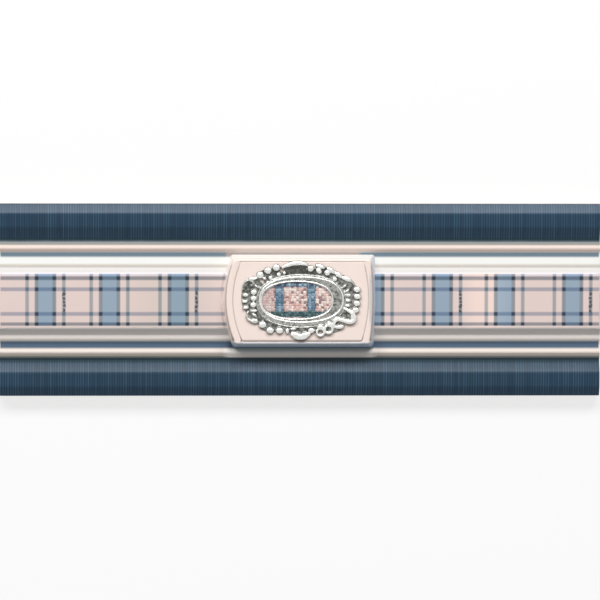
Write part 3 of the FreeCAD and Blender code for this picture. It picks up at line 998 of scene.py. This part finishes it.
@dataclass
class TileBody:
    """The one pressed body: keying grooves in its back, ribbed bands and mouldings on its face.

    Each stray is a long edge of the section, as its drawn half width, and how far out its far and its near copy lie.
    """

    section: Section
    ribs: int = 240
    steps_per_rib: int = 4
    rib_depth: float = 0.15 * MM
    rib_range: Spot = (0.6, 0.65)
    rib_clear: Spot = (0.3 * MM, 0.2 * MM)
    shoulder_share: float = 0.3
    rib_kinds: int = 5
    seed: int = 11
    wall_line: float = 4.6 * MM
    end_drop: Spot = (0.28 * MM, 0.07 * MM)
    smooth_angle: float = 45.0
    groove_pitch: float = 10.0 * MM
    groove_width: float = 4.0 * MM
    groove_depth: float = 0.8 * MM
    groove_margin: float = 9.0 * MM
    strays: tuple[tuple[float, float, float], ...] = (
        (21.7 * MM, -0.35 * MM, 0.1 * MM), (19.8 * MM, 0.0, 0.5 * MM), (15.3 * MM, -0.5 * MM, 0.85 * MM),
        (13.85 * MM, -0.45 * MM, 0.7 * MM), (11.1 * MM, 0.1 * MM, 0.55 * MM))
    groove_draft: float = 0.85
    grooves_each_side: int = 3

    def build(self) -> bpy.types.Object:
        """Draws the section up from a slab, rounds it, and presses its back and its ribs.

        Returns:
            The finished piece.
        """
        s = self.section
        piece = Modelling.start_box("tile_body", (-s.half_length, -s.edge_line, 0),
                                    (s.half_length, s.edge_line, s.edge_top))
        self.draw_up(piece)
        self.round_edges(piece)
        self.cut_back(piece)
        self.press_ribs(piece)
        return Modelling.finish(piece, self.smooth_angle)

    def draw_up(self, piece: bpy.types.Object) -> None:
        """Extrudes the face level by level into the section, closes each end with one face, and moves the strays."""
        s = self.section
        Modelling.select(piece, Pick.FACES, lambda spot: near(spot.z, s.edge_top))
        levels = ((s.band_edge, s.band_top), (s.band_inner, s.band_top), (s.channel_outer, s.channel_floor),
                  (s.channel_inner, s.channel_floor), (s.ridge_crest, s.ridge_top),
                  (s.groove_outer, s.groove_floor), (s.groove_inner, s.groove_floor),
                  (s.rim_crest, s.rim_top), (s.rim_groove, s.rim_groove_floor), (s.field_edge, s.field_top))
        width, height = s.edge_line, s.edge_top
        for half_width, top in levels:
            bpy.ops.mesh.extrude_region_move(TRANSFORM_OT_translate={"value": (0, 0, top - height)})
            bpy.ops.transform.resize(value=(1, half_width / width, 1))
            width, height = half_width, top
        Modelling.select_edges(piece, lambda first, second: near(abs(first.x), s.half_length)
                               and near(first.x, second.x) and first.y * second.y < 0
                               and 0 < first.z < s.field_top - SAME_PLACE)
        bpy.ops.mesh.delete(type="EDGE_FACE")
        for side in (1, -1):
            Modelling.select(piece, Pick.EDGES, lambda spot: near(spot.x, side * s.half_length))
            bpy.ops.mesh.edge_face_add()
        for place, far_move, near_move in self.strays:
            for side, move in ((1, far_move), (-1, near_move)):
                Modelling.select(piece, Pick.CORNERS, lambda spot: spot.z > self.wall_line
                                 and near(spot.y, side * place))
                bpy.ops.transform.translate(value=(0, side * move, 0))

    def edge_places(self, place: float) -> tuple[float, float]:
        """Where the far and the near copy of a long edge run once they have strayed from their drawn line."""
        moves = next((moves for line, *moves in self.strays if near(line, place)), (0.0, 0.0))
        return place + moves[0], -place - moves[1]

    def round_edges(self, piece: bpy.types.Object) -> None:
        """Rounds each long edge of the face by its own radius."""
        s = self.section
        rounds = ((s.edge_line, 0.3 * MM, 2), (s.band_edge, 0.7 * MM, 2), (s.band_inner, 0.7 * MM, 2),
                  (s.channel_outer, 0.8 * MM, 1), (s.channel_inner, 0.4 * MM, 1), (s.ridge_crest, 0.6 * MM, 3),
                  (s.groove_outer, 0.3 * MM, 1), (s.groove_inner, 0.4 * MM, 1), (s.rim_crest, 0.6 * MM, 3),
                  (s.rim_groove, 0.35 * MM, 1), (s.field_edge, 0.5 * MM, 2))
        for place, radius, segments in rounds:
            both = self.edge_places(place)
            Modelling.select(piece, Pick.EDGES, lambda spot: spot.z > self.wall_line and any(
                near(spot.y, line) for line in both))
            bpy.ops.mesh.bevel(offset=radius, segments=segments, profile=0.5)

    def cut_back(self, piece: bpy.types.Object) -> None:
        """Sinks the keying grooves into the back."""
        s = self.section
        starts = [self.groove_pitch * (n + 0.5) - self.groove_width / 2 for n in range(self.grooves_each_side)]
        walls = sorted(side * place for start in starts for place in (start, start + self.groove_width)
                       for side in (1, -1))
        reach = s.half_length - self.groove_margin
        cuts = [((0, place, 0), (0, 1, 0)) for place in walls]
        cuts += [((place, 0, 0), (1, 0, 0)) for place in (reach, -reach)]
        for place, normal in cuts:
            Modelling.select(piece, Pick.FACES, lambda spot: near(spot.z, 0))
            bpy.ops.mesh.bisect(plane_co=place, plane_no=normal)
        for low, high in zip(walls[::2], walls[1::2]):
            Modelling.select(piece, Pick.FACES, lambda spot: near(spot.z, 0) and abs(spot.x) < reach + SAME_PLACE
                             and low - SAME_PLACE < spot.y < high + SAME_PLACE)
            bpy.ops.mesh.extrude_region_move(TRANSFORM_OT_translate={"value": (0, 0, self.groove_depth)})
            bpy.ops.transform.resize(value=(1 - self.groove_depth / reach, self.groove_draft, 1))
        bpy.ops.mesh.select_all(action="SELECT")
        bpy.ops.mesh.bisect(plane_co=(0, 0, self.wall_line), plane_no=(0, 0, 1))

    def press_ribs(self, piece: bpy.types.Object) -> None:
        """Divides the face along its length, lowers the furrows between the ribs and eases the ends."""
        s = self.section
        Modelling.select_edges(piece, lambda first, second: abs(first.x - second.x) > s.half_length
                               and first.z > self.wall_line - SAME_PLACE)
        bpy.ops.mesh.subdivide(number_cuts=self.ribs * self.steps_per_rib - 1)
        step = 2 * s.half_length / (self.ribs * self.steps_per_rib)
        chance = random.Random(self.seed)
        kinds = [chance.randrange(self.rib_kinds) for _ in range(self.ribs + 1)]
        beyond, over = self.rib_clear
        least, more = self.rib_range

        def ribbed(spot: Vector) -> bool:
            """Says whether a corner lies on a ribbed band."""
            return spot.z > self.wall_line + over and abs(spot.y) > s.channel_inner + beyond

        def furrow(spot: Vector, kind: int, shoulder: bool) -> bool:
            """Says whether a corner lies in a furrow of one kind, or on its shoulders."""
            station = round((spot.x + s.half_length) / step)
            rib, part = divmod(station + 1, self.steps_per_rib)
            on_kind = ribbed(spot) and kinds[min(rib, self.ribs)] == kind
            return on_kind and (part in (0, 2) if shoulder else part == 1)

        for kind in range(self.rib_kinds):
            depth = self.rib_depth * (least + more * kind / (self.rib_kinds - 1))
            for shoulder, share in ((False, 1.0), (True, self.shoulder_share)):
                Modelling.select(piece, Pick.CORNERS, lambda spot: furrow(spot, kind, shoulder))
                bpy.ops.transform.translate(value=(0, 0, -depth * share))
        for inset, drop in enumerate(self.end_drop):
            Modelling.select(piece, Pick.CORNERS, lambda spot: spot.z > self.wall_line + SAME_PLACE
                             and near(abs(spot.x), s.half_length - inset * step))
            bpy.ops.transform.translate(value=(0, 0, -drop))


@dataclass
class Plaque:
    """The raised plaque with bowed ends and a line cut round its face.

    Each line step draws the face in, along and across, and then moves it up or down.
    """

    section: Section
    sunk: float = 0.6 * MM
    left: float = 32.5 * MM
    right: float = 32.25 * MM
    half_width: float = 19.6 * MM
    offset: float = -0.45 * MM
    top_shift: float = -0.6 * MM
    bulges: Spot = (3.9 * MM, 1.2 * MM)
    bow_centres: Spot = (1.0 * MM, 1.4 * MM)
    line_bulges: Spot = (0.65 * MM, 2.0 * MM)
    line_centres: Spot = (1.2 * MM, 1.7 * MM)
    draft: float = 12.0
    slices: int = 14
    corner_round: float = 1.0 * MM
    rim_round: float = 0.75 * MM
    round_segments: int = 4
    smooth_angle: float = 45.0
    line_shift: float = 0.58 * MM
    line_steps: tuple[tuple[float, float, float], ...] = (
        (1.25 * MM, -0.1 * MM, 0.0), (0.3 * MM, 0.3 * MM, -0.25 * MM), (0.14 * MM, 0.14 * MM, 0.0),
        (0.3 * MM, 0.3 * MM, 0.25 * MM))

    def build(self) -> bpy.types.Object:
        """Bows a box's ends, leans its walls, rounds its rim and cuts the line.

        Returns:
            The finished piece.
        """
        s = self.section
        foot = s.channel_floor - self.sunk
        piece = Modelling.start_box("plaque", (-self.left, -self.half_width, foot),
                                    (self.right, self.half_width, s.plaque_top))
        for number in range(1, self.slices):
            bpy.ops.mesh.select_all(action="SELECT")
            cut_at = self.half_width * (2 * number / self.slices - 1)
            bpy.ops.mesh.bisect(plane_co=(0, cut_at, 0), plane_no=(0, 1, 0))
        bpy.ops.mesh.select_all(action="SELECT")
        self.bow(piece, self.bulges, self.bow_centres)
        Modelling.select(piece, Pick.FACES, lambda spot: near(spot.z, s.plaque_top))
        bpy.ops.mesh.dissolve_faces()
        Modelling.select(piece, Pick.FACES, lambda spot: near(spot.z, foot))
        bpy.ops.mesh.dissolve_faces()
        lean = (s.plaque_top - foot) * math.tan(math.radians(self.draft))
        length = (self.left + self.right) / 2
        Modelling.select(piece, Pick.FACES, lambda spot: near(spot.z, s.plaque_top))
        bpy.ops.transform.resize(value=(1 - lean / length, 1 - lean / self.half_width, 1))
        bpy.ops.transform.translate(value=(self.top_shift, 0, 0))
        Modelling.select_edges(piece, lambda first, second: abs(first.z - second.z) > lean
                               and abs(first.y) > self.half_width - lean - SAME_PLACE)
        bpy.ops.mesh.bevel(offset=self.corner_round, segments=self.round_segments, profile=0.5)
        Modelling.select(piece, Pick.EDGES, lambda spot: near(spot.z, s.plaque_top))
        bpy.ops.mesh.bevel(offset=self.rim_round, segments=self.round_segments, profile=0.5)
        self.cut_line(piece, length - lean - self.rim_round, self.half_width - lean - self.rim_round)
        bpy.ops.mesh.select_all(action="SELECT")
        bpy.ops.transform.translate(value=(0, self.offset, 0))
        return Modelling.finish(piece, self.smooth_angle)

    def cut_line(self, piece: bpy.types.Object, length: float, width: float) -> None:
        """Draws the face in step by step, sinking the line between its rim and its middle.

        Args:
            piece: The plaque in edit mode.
            length: The face's half length.
            width: The face's half width.
        """
        Modelling.select(piece, Pick.FACES, lambda spot: near(spot.z, self.section.plaque_top))
        for number, (along, across, move) in enumerate(self.line_steps):
            shift = self.line_shift if number == 0 else 0.0
            bpy.ops.mesh.extrude_region_move(TRANSFORM_OT_translate={"value": (shift, 0, move)})
            bpy.ops.transform.resize(value=(1 - along / length, 1 - across / width, 1))
            length -= along
            width -= across
            if number == 0:
                ring = self.bow(piece, self.line_bulges, self.line_centres)
                Modelling.select(piece, Pick.FACES, lambda spot: any(
                    (spot - place).length < SAME_PLACE for place in ring))

    def bow(self, piece: bpy.types.Object, bulges: Spot, centres: Spot) -> list[Vector]:
        """Draws the chosen corners at each end in along a shallow arc.

        Args:
            piece: The piece in edit mode, with the corners chosen.
            bulges: How far the left and the right arc bow.
            centres: Where each arc is fullest.

        Returns:
            The corners' new places.
        """
        bpy.ops.object.mode_set(mode="OBJECT")
        spots = [v.co.copy() for v in piece.data.vertices if v.select]
        bpy.ops.object.mode_set(mode="EDIT")
        for spot in spots:
            side = 1 if spot.x > 0 else 0
            pull = bulges[side] * ((spot.y - centres[side]) / self.half_width) ** 2 * (-1 if side else 1)
            Modelling.select(piece, Pick.CORNERS, lambda other: (other - spot).length < SAME_PLACE)
            bpy.ops.transform.translate(value=(pull, 0, 0))
            spot.x += pull
        return spots


@dataclass(frozen=True)
class BeadRun:
    """A run of beads from one place to another, bowed to its left-hand side, in millimetres."""

    start: Spot
    end: Spot
    count: int
    half: Spot
    bow: float = 0.0

    def places(self) -> list[Spot]:
        """Finds where the beads sit.

        Returns:
            Each bead's place across the tile's face.
        """
        (x0, y0), (x1, y1) = self.start, self.end
        length = math.hypot(x1 - x0, y1 - y0) or 1.0
        spots = []
        for number in range(self.count):
            share = number / max(1, self.count - 1)
            out = self.bow * 4 * share * (1 - share)
            spots.append((x0 + (x1 - x0) * share - (y1 - y0) / length * out,
                          y0 + (y1 - y0) * share + (x1 - x0) / length * out))
        return spots


@dataclass
class Medallion:
    """The silver relief: its ground, an oval ring, runs of beads, open loops, scrolls, leaves and two shells.

    Its own places and sizes, and those of its bead runs, are in millimetres. A ground is a middle and half sizes; a
    leaf has its turn in degrees besides; a loop is a middle, a radius and a tube; a wire is a middle, half sizes, a
    tube and a lift; each point of a scroll is a place and a thickness.
    """

    section: Section
    grounds: tuple[tuple[Spot, Spot], ...] = (
        ((0.0, 0.0), (19.3, 13.0)), ((0.0, 0.3), (22.6, 5.2)), ((-19.4, 6.7), (3.4, 2.3)),
        ((19.2, 6.9), (3.0, 2.2)), ((-18.8, -6.4), (2.9, 2.5)), ((18.6, -6.8), (2.9, 2.5)),
        ((-2.6, 13.4), (4.6, 2.0)), ((-0.1, -13.0), (3.8, 2.0)), ((-21.5, 1.6), (3.3, 6.6)),
        ((21.4, 1.0), (2.6, 6.4)), ((16.4, 8.8), (3.2, 2.2)), ((-12.6, 11.2), (5.0, 2.2)),
        ((8.8, 11.6), (6.2, 2.1)), ((-12.3, -10.6), (5.0, 2.1)), ((11.4, -10.8), (5.8, 2.5)))
    runs: tuple[BeadRun, ...] = (
        BeadRun((-17.05, 10.8), (-10.35, 13.9), 3, (1.5, 1.4), 0.35),
        BeadRun((-12.75, 9.7), (-9.3, 11.05), 2, (0.95, 0.95)),
        BeadRun((23.15, 4.8), (22.6, -3.7), 4, (1.5, 1.12), 0.4),
        BeadRun((19.5, 2.4), (19.3, -1.9), 3, (1.15, 0.7), 0.2),
        BeadRun((-23.05, 2.5), (-23.0, -2.7), 3, (1.3, 0.75), -0.3),
        BeadRun((-19.7, 3.7), (-19.85, -1.55), 3, (1.25, 1.1)),
        BeadRun((-12.85, -12.1), (-8.95, -12.2), 2, (1.55, 1.25)),
        BeadRun((4.25, -12.2), (11.85, -9.75), 3, (1.35, 1.1), 0.15))
    loops: tuple[tuple[Spot, float, float], ...] = (((11.4, -11.6), 1.6, 0.6), ((8.0, -12.8), 1.5, 0.55))
    leaves: tuple[tuple[Spot, Spot, float], ...] = (
        ((3.9, 13.5), (1.4, 1.25), 0.0), ((7.3, 12.5), (1.4, 1.0), -35.0), ((7.9, 14.4), (2.1, 0.9), -18.0),
        ((10.7, 11.7), (1.3, 1.0), -40.0), ((12.3, 12.8), (2.0, 1.0), -35.0), ((13.9, 9.1), (1.1, 0.9), 0.0),
        ((15.6, 10.8), (2.0, 0.95), -38.0), ((18.8, 9.2), (2.3, 1.0), -22.0), ((17.9, 6.0), (1.1, 0.45), 45.0),
        ((18.9, 4.1), (1.35, 0.55), 35.0), ((-20.1, 9.3), (1.9, 0.8), 8.0), ((-15.1, 9.3), (0.8, 0.6), 0.0),
        ((-7.0, 11.7), (0.8, 0.7), 0.0), ((-18.0, 5.8), (1.3, 0.4), -32.0),
        ((-19.5, -4.1), (1.5, 0.6), 5.0), ((-19.3, -5.9), (1.2, 0.6), -30.0), ((-19.1, -8.0), (1.4, 0.6), -5.0),
        ((-16.0, -6.3), (1.0, 0.45), -35.0), ((-14.4, -7.9), (0.9, 0.4), -20.0), ((-16.0, -9.75), (1.6, 1.35), 0.0),
        ((-5.7, -12.4), (0.8, 1.2), 0.0), ((-3.3, -11.5), (1.3, 0.6), 0.0),
        ((-2.3, -14.0), (2.2, 1.1), -12.0), ((1.8, -14.0), (2.2, 1.1), 12.0), ((-0.3, -14.75), (3.0, 1.3), 0.0),
        ((16.4, -10.5), (1.5, 0.8), 5.0), ((21.3, -6.6), (0.9, 1.3), 0.0))
    scrolls: tuple[tuple[tuple[float, float, float], ...], ...] = (
        ((-8.2, 13.6, 0.5), (-6.4, 14.8, 0.9), (-3.6, 15.7, 1.12), (-0.8, 15.9, 1.08), (1.5, 15.5, 0.9),
         (2.8, 14.8, 0.5)),
        ((-24.2, 4.0, 0.2), (-24.5, 6.6, 0.3), (-23.0, 8.7, 0.4), (-20.6, 8.9, 0.5), (-19.4, 7.2, 0.4),
         (-20.9, 6.2, 0.3)),
        ((19.4, 9.0, 0.4), (21.0, 8.2, 0.5), (22.0, 7.0, 0.4), (22.4, 6.2, 0.3)),
        ((-21.8, -4.2, 0.4), (-23.2, -6.2, 0.5), (-21.4, -8.3, 0.6), (-18.6, -9.1, 0.55), (-17.6, -8.3, 0.4)),
        ((17.7, -3.0, 0.5), (20.2, -4.0, 0.85), (22.6, -5.9, 1.0), (21.8, -8.9, 1.1), (18.1, -8.4, 1.0),
         (15.3, -7.0, 0.95), (13.0, -8.8, 0.8), (13.9, -11.4, 0.75), (17.0, -10.6, 0.8)))
    ground_sunk: float = 0.4
    ground_step: float = 0.01
    seat: tuple[Spot, Spot, float] = ((0.0, 0.1), (16.4, 8.8), 0.25)
    ring_half: Spot = (17.2, 9.6)
    ring_tube: float = 1.45
    ring_lift: float = 0.05
    ring_flat: float = 0.22
    wires: tuple[tuple[Spot, Spot, float, float], ...] = (
        ((-1.75, 0.35), (14.9, 7.9), 0.34, 0.4), ((0.1, 0.65), (17.3, 9.4), 0.36, 0.55),
        ((0.0, 0.0), (18.45, 10.85), 0.26, 0.2))
    bead_growth: float = 1.12
    bead_height: Spot = (1.15, 1.2)
    bead_sunk: float = 0.05
    loop_lift: float = 0.3
    scroll_lift: float = 0.1
    voxel: float = 0.2
    parts: list[bpy.types.Object] = field(default_factory=list)

    def keep(self, name: str) -> None:
        """Applies the active part's place and keeps it for joining."""
        part = bpy.context.object
        part.name = name
        bpy.ops.object.transform_apply(location=True, rotation=True, scale=True)
        self.parts.append(part)

    def place(self, centre: Spot, lift: float) -> tuple[float, float, float]:
        """A place on the face in metres, lifted over the seat."""
        return centre[0] * MM, centre[1] * MM, self.section.seat_top + lift * MM

    def ground(self, centre: Spot, half: Spot, lift: float) -> None:
        """A low oval of silver ground, lifted over the seat."""
        along, across, top = self.place(centre, lift)
        depth = top - self.section.plaque_top + self.ground_sunk * MM
        bpy.ops.mesh.primitive_cylinder_add(vertices=64, radius=1.0, depth=1.0,
                                            location=(along, across, top - depth / 2),
                                            scale=(half[0] * MM, half[1] * MM, depth))
        self.keep("ground")

    def ring(self, centre: Spot, half: Spot, tube: float, lift: float, flat: float = 1.0) -> None:
        """An oval ring of round or flattened section.

        Args:
            centre: Its middle on the face.
            half: Its half length and half width.
            tube: The radius of its section.
            lift: How far its middle lies over the seat.
            flat: How far its section is pressed flat, where 1 leaves it round.
        """
        bpy.ops.curve.primitive_bezier_circle_add(radius=1.0, location=(0, 0, 0))
        curve = bpy.context.object
        bpy.ops.object.mode_set(mode="EDIT")
        bpy.ops.curve.select_all(action="SELECT")
        bpy.ops.transform.resize(value=(half[0] * MM, half[1] * MM, 1))
        bpy.ops.object.mode_set(mode="OBJECT")
        curve.data.bevel_depth = tube * MM
        curve.data.bevel_resolution = 4
        curve.data.resolution_u = 24
        bpy.ops.object.convert(target="MESH")
        ring = bpy.context.object
        ring.scale = (1, 1, flat)
        ring.location = self.place(centre, lift)
        self.keep("ring")

    def bead(self, master: bpy.types.Object, centre: Spot, half: Spot, turn: float = 0.0) -> None:
        """Copies a ball to its place as a bead or leaf, stretched and turned about its own middle.

        Args:
            master: The ball that is copied.
            centre: The bead's middle on the face.
            half: Its half length and half width.
            turn: How far it is turned, in degrees.
        """
        bpy.ops.object.select_all(action="DESELECT")
        master.select_set(True)
        bpy.context.view_layer.objects.active = master
        bpy.ops.object.duplicate(linked=False)
        bead = bpy.context.object
        bead.location = self.place(centre, -self.bead_sunk)
        bead.rotation_euler = (0, 0, math.radians(turn))
        grown = self.bead_growth * MM
        most, share = self.bead_height
        bead.scale = (half[0] * grown, half[1] * grown, min(most, share * min(half)) * MM)
        self.keep("bead")

    def loop(self, centre: Spot, radius: float, tube: float) -> None:
        """A small open ring."""
        bpy.ops.mesh.primitive_torus_add(
            location=self.place(centre, self.loop_lift), major_radius=radius * MM, minor_radius=tube * MM,
            major_segments=24, minor_segments=10)
        self.keep("loop")

    def scroll(self, points: Sequence[tuple[float, float, float]]) -> None:
        """A curled stem along points of (across, up, thickness)."""
        bpy.ops.curve.primitive_nurbs_path_add(location=self.place((0.0, 0.0), self.scroll_lift))
        curve = bpy.context.object
        spline = curve.data.splines[0]
        while len(spline.points) < len(points):
            spline.points.add(1)
        places = [*points, *[points[-1]] * (len(spline.points) - len(points))]
        for node, (across, up, thick) in zip(spline.points, places):
            node.co = (across * MM, up * MM, 0, 1)
            node.radius = thick
        spline.use_endpoint_u = True
        spline.order_u = 4
        curve.data.bevel_depth = MM
        curve.data.bevel_resolution = 4
        curve.data.use_fill_caps = True
        bpy.ops.object.convert(target="MESH")
        self.keep("scroll")

    def build(self) -> bpy.types.Object:
        """Makes every part of the relief and casts them together as one skin.

        Returns:
            The finished piece.
        """
        bpy.ops.object.select_all(action="DESELECT")
        for number, (centre, half) in enumerate(self.grounds):
            self.ground(centre, half, -self.ground_step * number)
        self.ground(*self.seat)
        self.ring(self.seat[0], self.ring_half, self.ring_tube, self.ring_lift, self.ring_flat)
        bpy.ops.mesh.primitive_uv_sphere_add(segments=40, ring_count=20, radius=1.0, location=(0, 0, 0))
        master = bpy.context.object
        for run in self.runs:
            for spot in run.places():
                self.bead(master, spot, run.half)
        for centre, half, turn in self.leaves:
            self.bead(master, centre, half, turn)
        bpy.data.objects.remove(master)
        for centre, radius, tube in self.loops:
            self.loop(centre, radius, tube)
        for points in self.scrolls:
            self.scroll(points)
        return self.cast()

    def join(self) -> bpy.types.Object:
        """Joins the kept parts into one object."""
        bpy.ops.object.select_all(action="DESELECT")
        for part in self.parts:
            part.select_set(True)
        bpy.context.view_layer.objects.active = self.parts[0]
        bpy.ops.object.join()
        self.parts = [bpy.context.object]
        return self.parts[0]

    def cast(self) -> bpy.types.Object:
        """Joins the parts, remeshes them into one closed skin and adds the thin wires over it."""
        piece = self.join()
        remesh = piece.modifiers.new("cast", "REMESH")
        remesh.mode = "VOXEL"
        remesh.voxel_size = self.voxel * MM
        bpy.ops.object.modifier_apply(modifier=remesh.name)
        smooth = piece.modifiers.new("fired", "SMOOTH")
        smooth.factor = 0.5
        smooth.iterations = 2
        bpy.ops.object.modifier_apply(modifier=smooth.name)
        for centre, half, tube, lift in self.wires:
            self.ring(centre, half, tube, lift)
        piece = self.join()
        piece.name = "medallion_relief"
        piece.data.name = piece.name
        bpy.ops.object.shade_smooth()
        return piece


@dataclass
class Inlay:
    """The stitched inlay inside the ring."""

    section: Section
    centre: Spot = (-1.75 * MM, 0.35 * MM)
    half: Spot = (14.7 * MM, 7.7 * MM)
    lift: float = 0.4 * MM
    depth: float = 0.6 * MM
    edge_round: float = 0.15 * MM

    def build(self) -> bpy.types.Object:
        """Flattens a disc into the oval and rounds its upper edge.

        Returns:
            The finished piece.
        """
        top = self.section.seat_top + self.lift
        bpy.ops.object.select_all(action="DESELECT")
        bpy.ops.mesh.primitive_cylinder_add(vertices=96, radius=1.0, depth=1.0,
                                            location=(*self.centre, top - self.depth / 2),
                                            scale=(*self.half, self.depth))
        piece = bpy.context.object
        piece.name = "stitched_inlay"
        piece.data.name = piece.name
        bpy.ops.object.transform_apply(location=True, rotation=True, scale=True)
        bpy.ops.object.mode_set(mode="EDIT")
        Modelling.select(piece, Pick.EDGES, lambda spot: near(spot.z, top))
        bpy.ops.mesh.bevel(offset=self.edge_round, segments=2, profile=0.5)
        return Modelling.finish(piece)


@dataclass(frozen=True)
class Lamp:
    """A broad soft lamp to one side of the tile, aimed at its middle."""

    name: str
    elevation: float
    side: int
    size: Spot
    power: float
    tint: Colour
    bearing: float = 0.0
    distance: float = 1.6

    def build(self) -> None:
        """Adds the lamp, turned from the tile's long edge toward its left end by the bearing."""
        rise, turn = math.radians(self.elevation), math.radians(self.bearing)
        spot = Vector((-math.sin(turn) * math.cos(rise), self.side * math.cos(turn) * math.cos(rise),
                       math.sin(rise))) * self.distance
        bpy.ops.object.light_add(type="AREA", location=spot)
        lamp = bpy.context.object
        lamp.name = self.name
        lamp.data.shape = "RECTANGLE"
        lamp.data.size, lamp.data.size_y = self.size
        lamp.data.energy = self.power
        lamp.data.color = self.tint
        lamp.rotation_euler = (-spot).to_track_quat("-Z", "Y").to_euler()


@dataclass
class Studio:
    """A white floor, a long lamp beyond the tile's far edge, a dim world that looks white, and the camera.

    The camera leans by so many degrees toward the right end and toward the far edge.
    """

    distance: float = 2.6
    lens: float = 374.2
    lean: Spot = (-2.8, 3.4)
    aim: tuple[float, float, float] = (0.24 * MM, -0.43 * MM, 0.0)
    key: Lamp = Lamp("key", 40.0, 1, (2.2, 0.5), 38.5, (1.0, 1.0, 1.0), 6.0)
    floor_level: float = -0.05 * MM
    floor_size: float = 8.0
    floor_colour: Colour = (0.9, 0.9, 0.9)
    dim: float = 0.26
    shown: float = 0.75
    mirrored: float = 0.8

    def build(self) -> None:
        """Builds the floor, lamp, world and camera."""
        self.floor()
        self.key.build()
        self.world()
        self.camera()
        bpy.context.scene.view_settings.view_transform = "Standard"

    def floor(self) -> None:
        """A white floor just under the tile, which keeps a soft shadow."""
        bpy.ops.object.select_all(action="DESELECT")
        bpy.ops.mesh.primitive_plane_add(size=self.floor_size, location=(0, 0, self.floor_level))
        floor = bpy.context.object
        floor.name = "floor"
        bpy.ops.object.transform_apply(location=True, rotation=True, scale=True)
        sheet = ShaderSheet("white_floor")
        sheet.colour(self.floor_colour)
        sheet.feed("Roughness", 0.9)
        glow = sheet.node("ShaderNodeEmission", {}, {"Color": (1.0, 1.0, 1.0, 1.0), "Strength": 1.0})
        rays = sheet.node("ShaderNodeLightPath", {}, {})
        seen = Signal(sheet, rays.outputs["Is Camera Ray"]) * self.shown + (
            Signal(sheet, rays.outputs["Is Glossy Ray"]) * self.mirrored)
        mixed = sheet.node("ShaderNodeMixShader", {}, {0: seen, 1: sheet.shader.outputs["BSDF"],
                                                        2: glow.outputs["Emission"]})
        output = next(n for n in sheet.tree.nodes if n.type == "OUTPUT_MATERIAL")
        sheet.tree.links.new(mixed.outputs[0], output.inputs["Surface"])
        floor.data.materials.append(sheet.material)

    def world(self) -> None:
        """A dim world that the camera sees as white and that glossy surfaces mirror."""
        world = bpy.data.worlds.new("world")
        bpy.context.scene.world = world
        world.use_nodes = True
        sheet = NodeSheet(world.node_tree)
        rays = sheet.node("ShaderNodeLightPath", {}, {})
        strength = self.dim + Signal(sheet, rays.outputs["Is Camera Ray"]) * (1 - self.dim) + (
            Signal(sheet, rays.outputs["Is Glossy Ray"]) * (self.mirrored - self.dim))
        sky = sheet.node("ShaderNodeBackground", {}, {"Color": (1.0, 1.0, 1.0, 1.0), "Strength": strength})
        sheet.node("ShaderNodeOutputWorld", {}, {"Surface": sky.outputs["Background"]})

    def camera(self) -> None:
        """A long lens over the tile, leaned a little from straight above and level with the tile's length."""
        across, up = (math.tan(math.radians(angle)) for angle in self.lean)
        back = Vector((across, up, 1)).normalized()
        bpy.ops.object.camera_add(location=Vector(self.aim) + back * self.distance)
        camera = bpy.context.object
        camera.name = "camera"
        camera.data.lens = self.lens
        top = Vector((0, back.z, -back.y)).normalized()
        turn = Matrix((top.cross(back), top, back)).transposed()
        camera.rotation_euler = turn.to_euler()
        bpy.context.scene.camera = camera


def main() -> None:
    """Builds the tile's pieces, dresses them and sets up the studio."""
    logging.basicConfig(level=logging.INFO, format="%(message)s")
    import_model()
    section = Section.from_frame()
    body = TileBody(section).build()
    dress(body, BodyGlaze(section).material())
    plaque = Plaque(section).build()
    dress(plaque, PlaqueGlaze(section).material())
    relief = Medallion(section).build()
    dress(relief, SilverLustre(section).material())
    inlay = Inlay(section).build()
    dress(inlay, StitchedPrint().material())
    for piece in (body, plaque, relief, inlay):
        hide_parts(NODE)
    Studio().build()


if __name__ == "__main__":
    main()
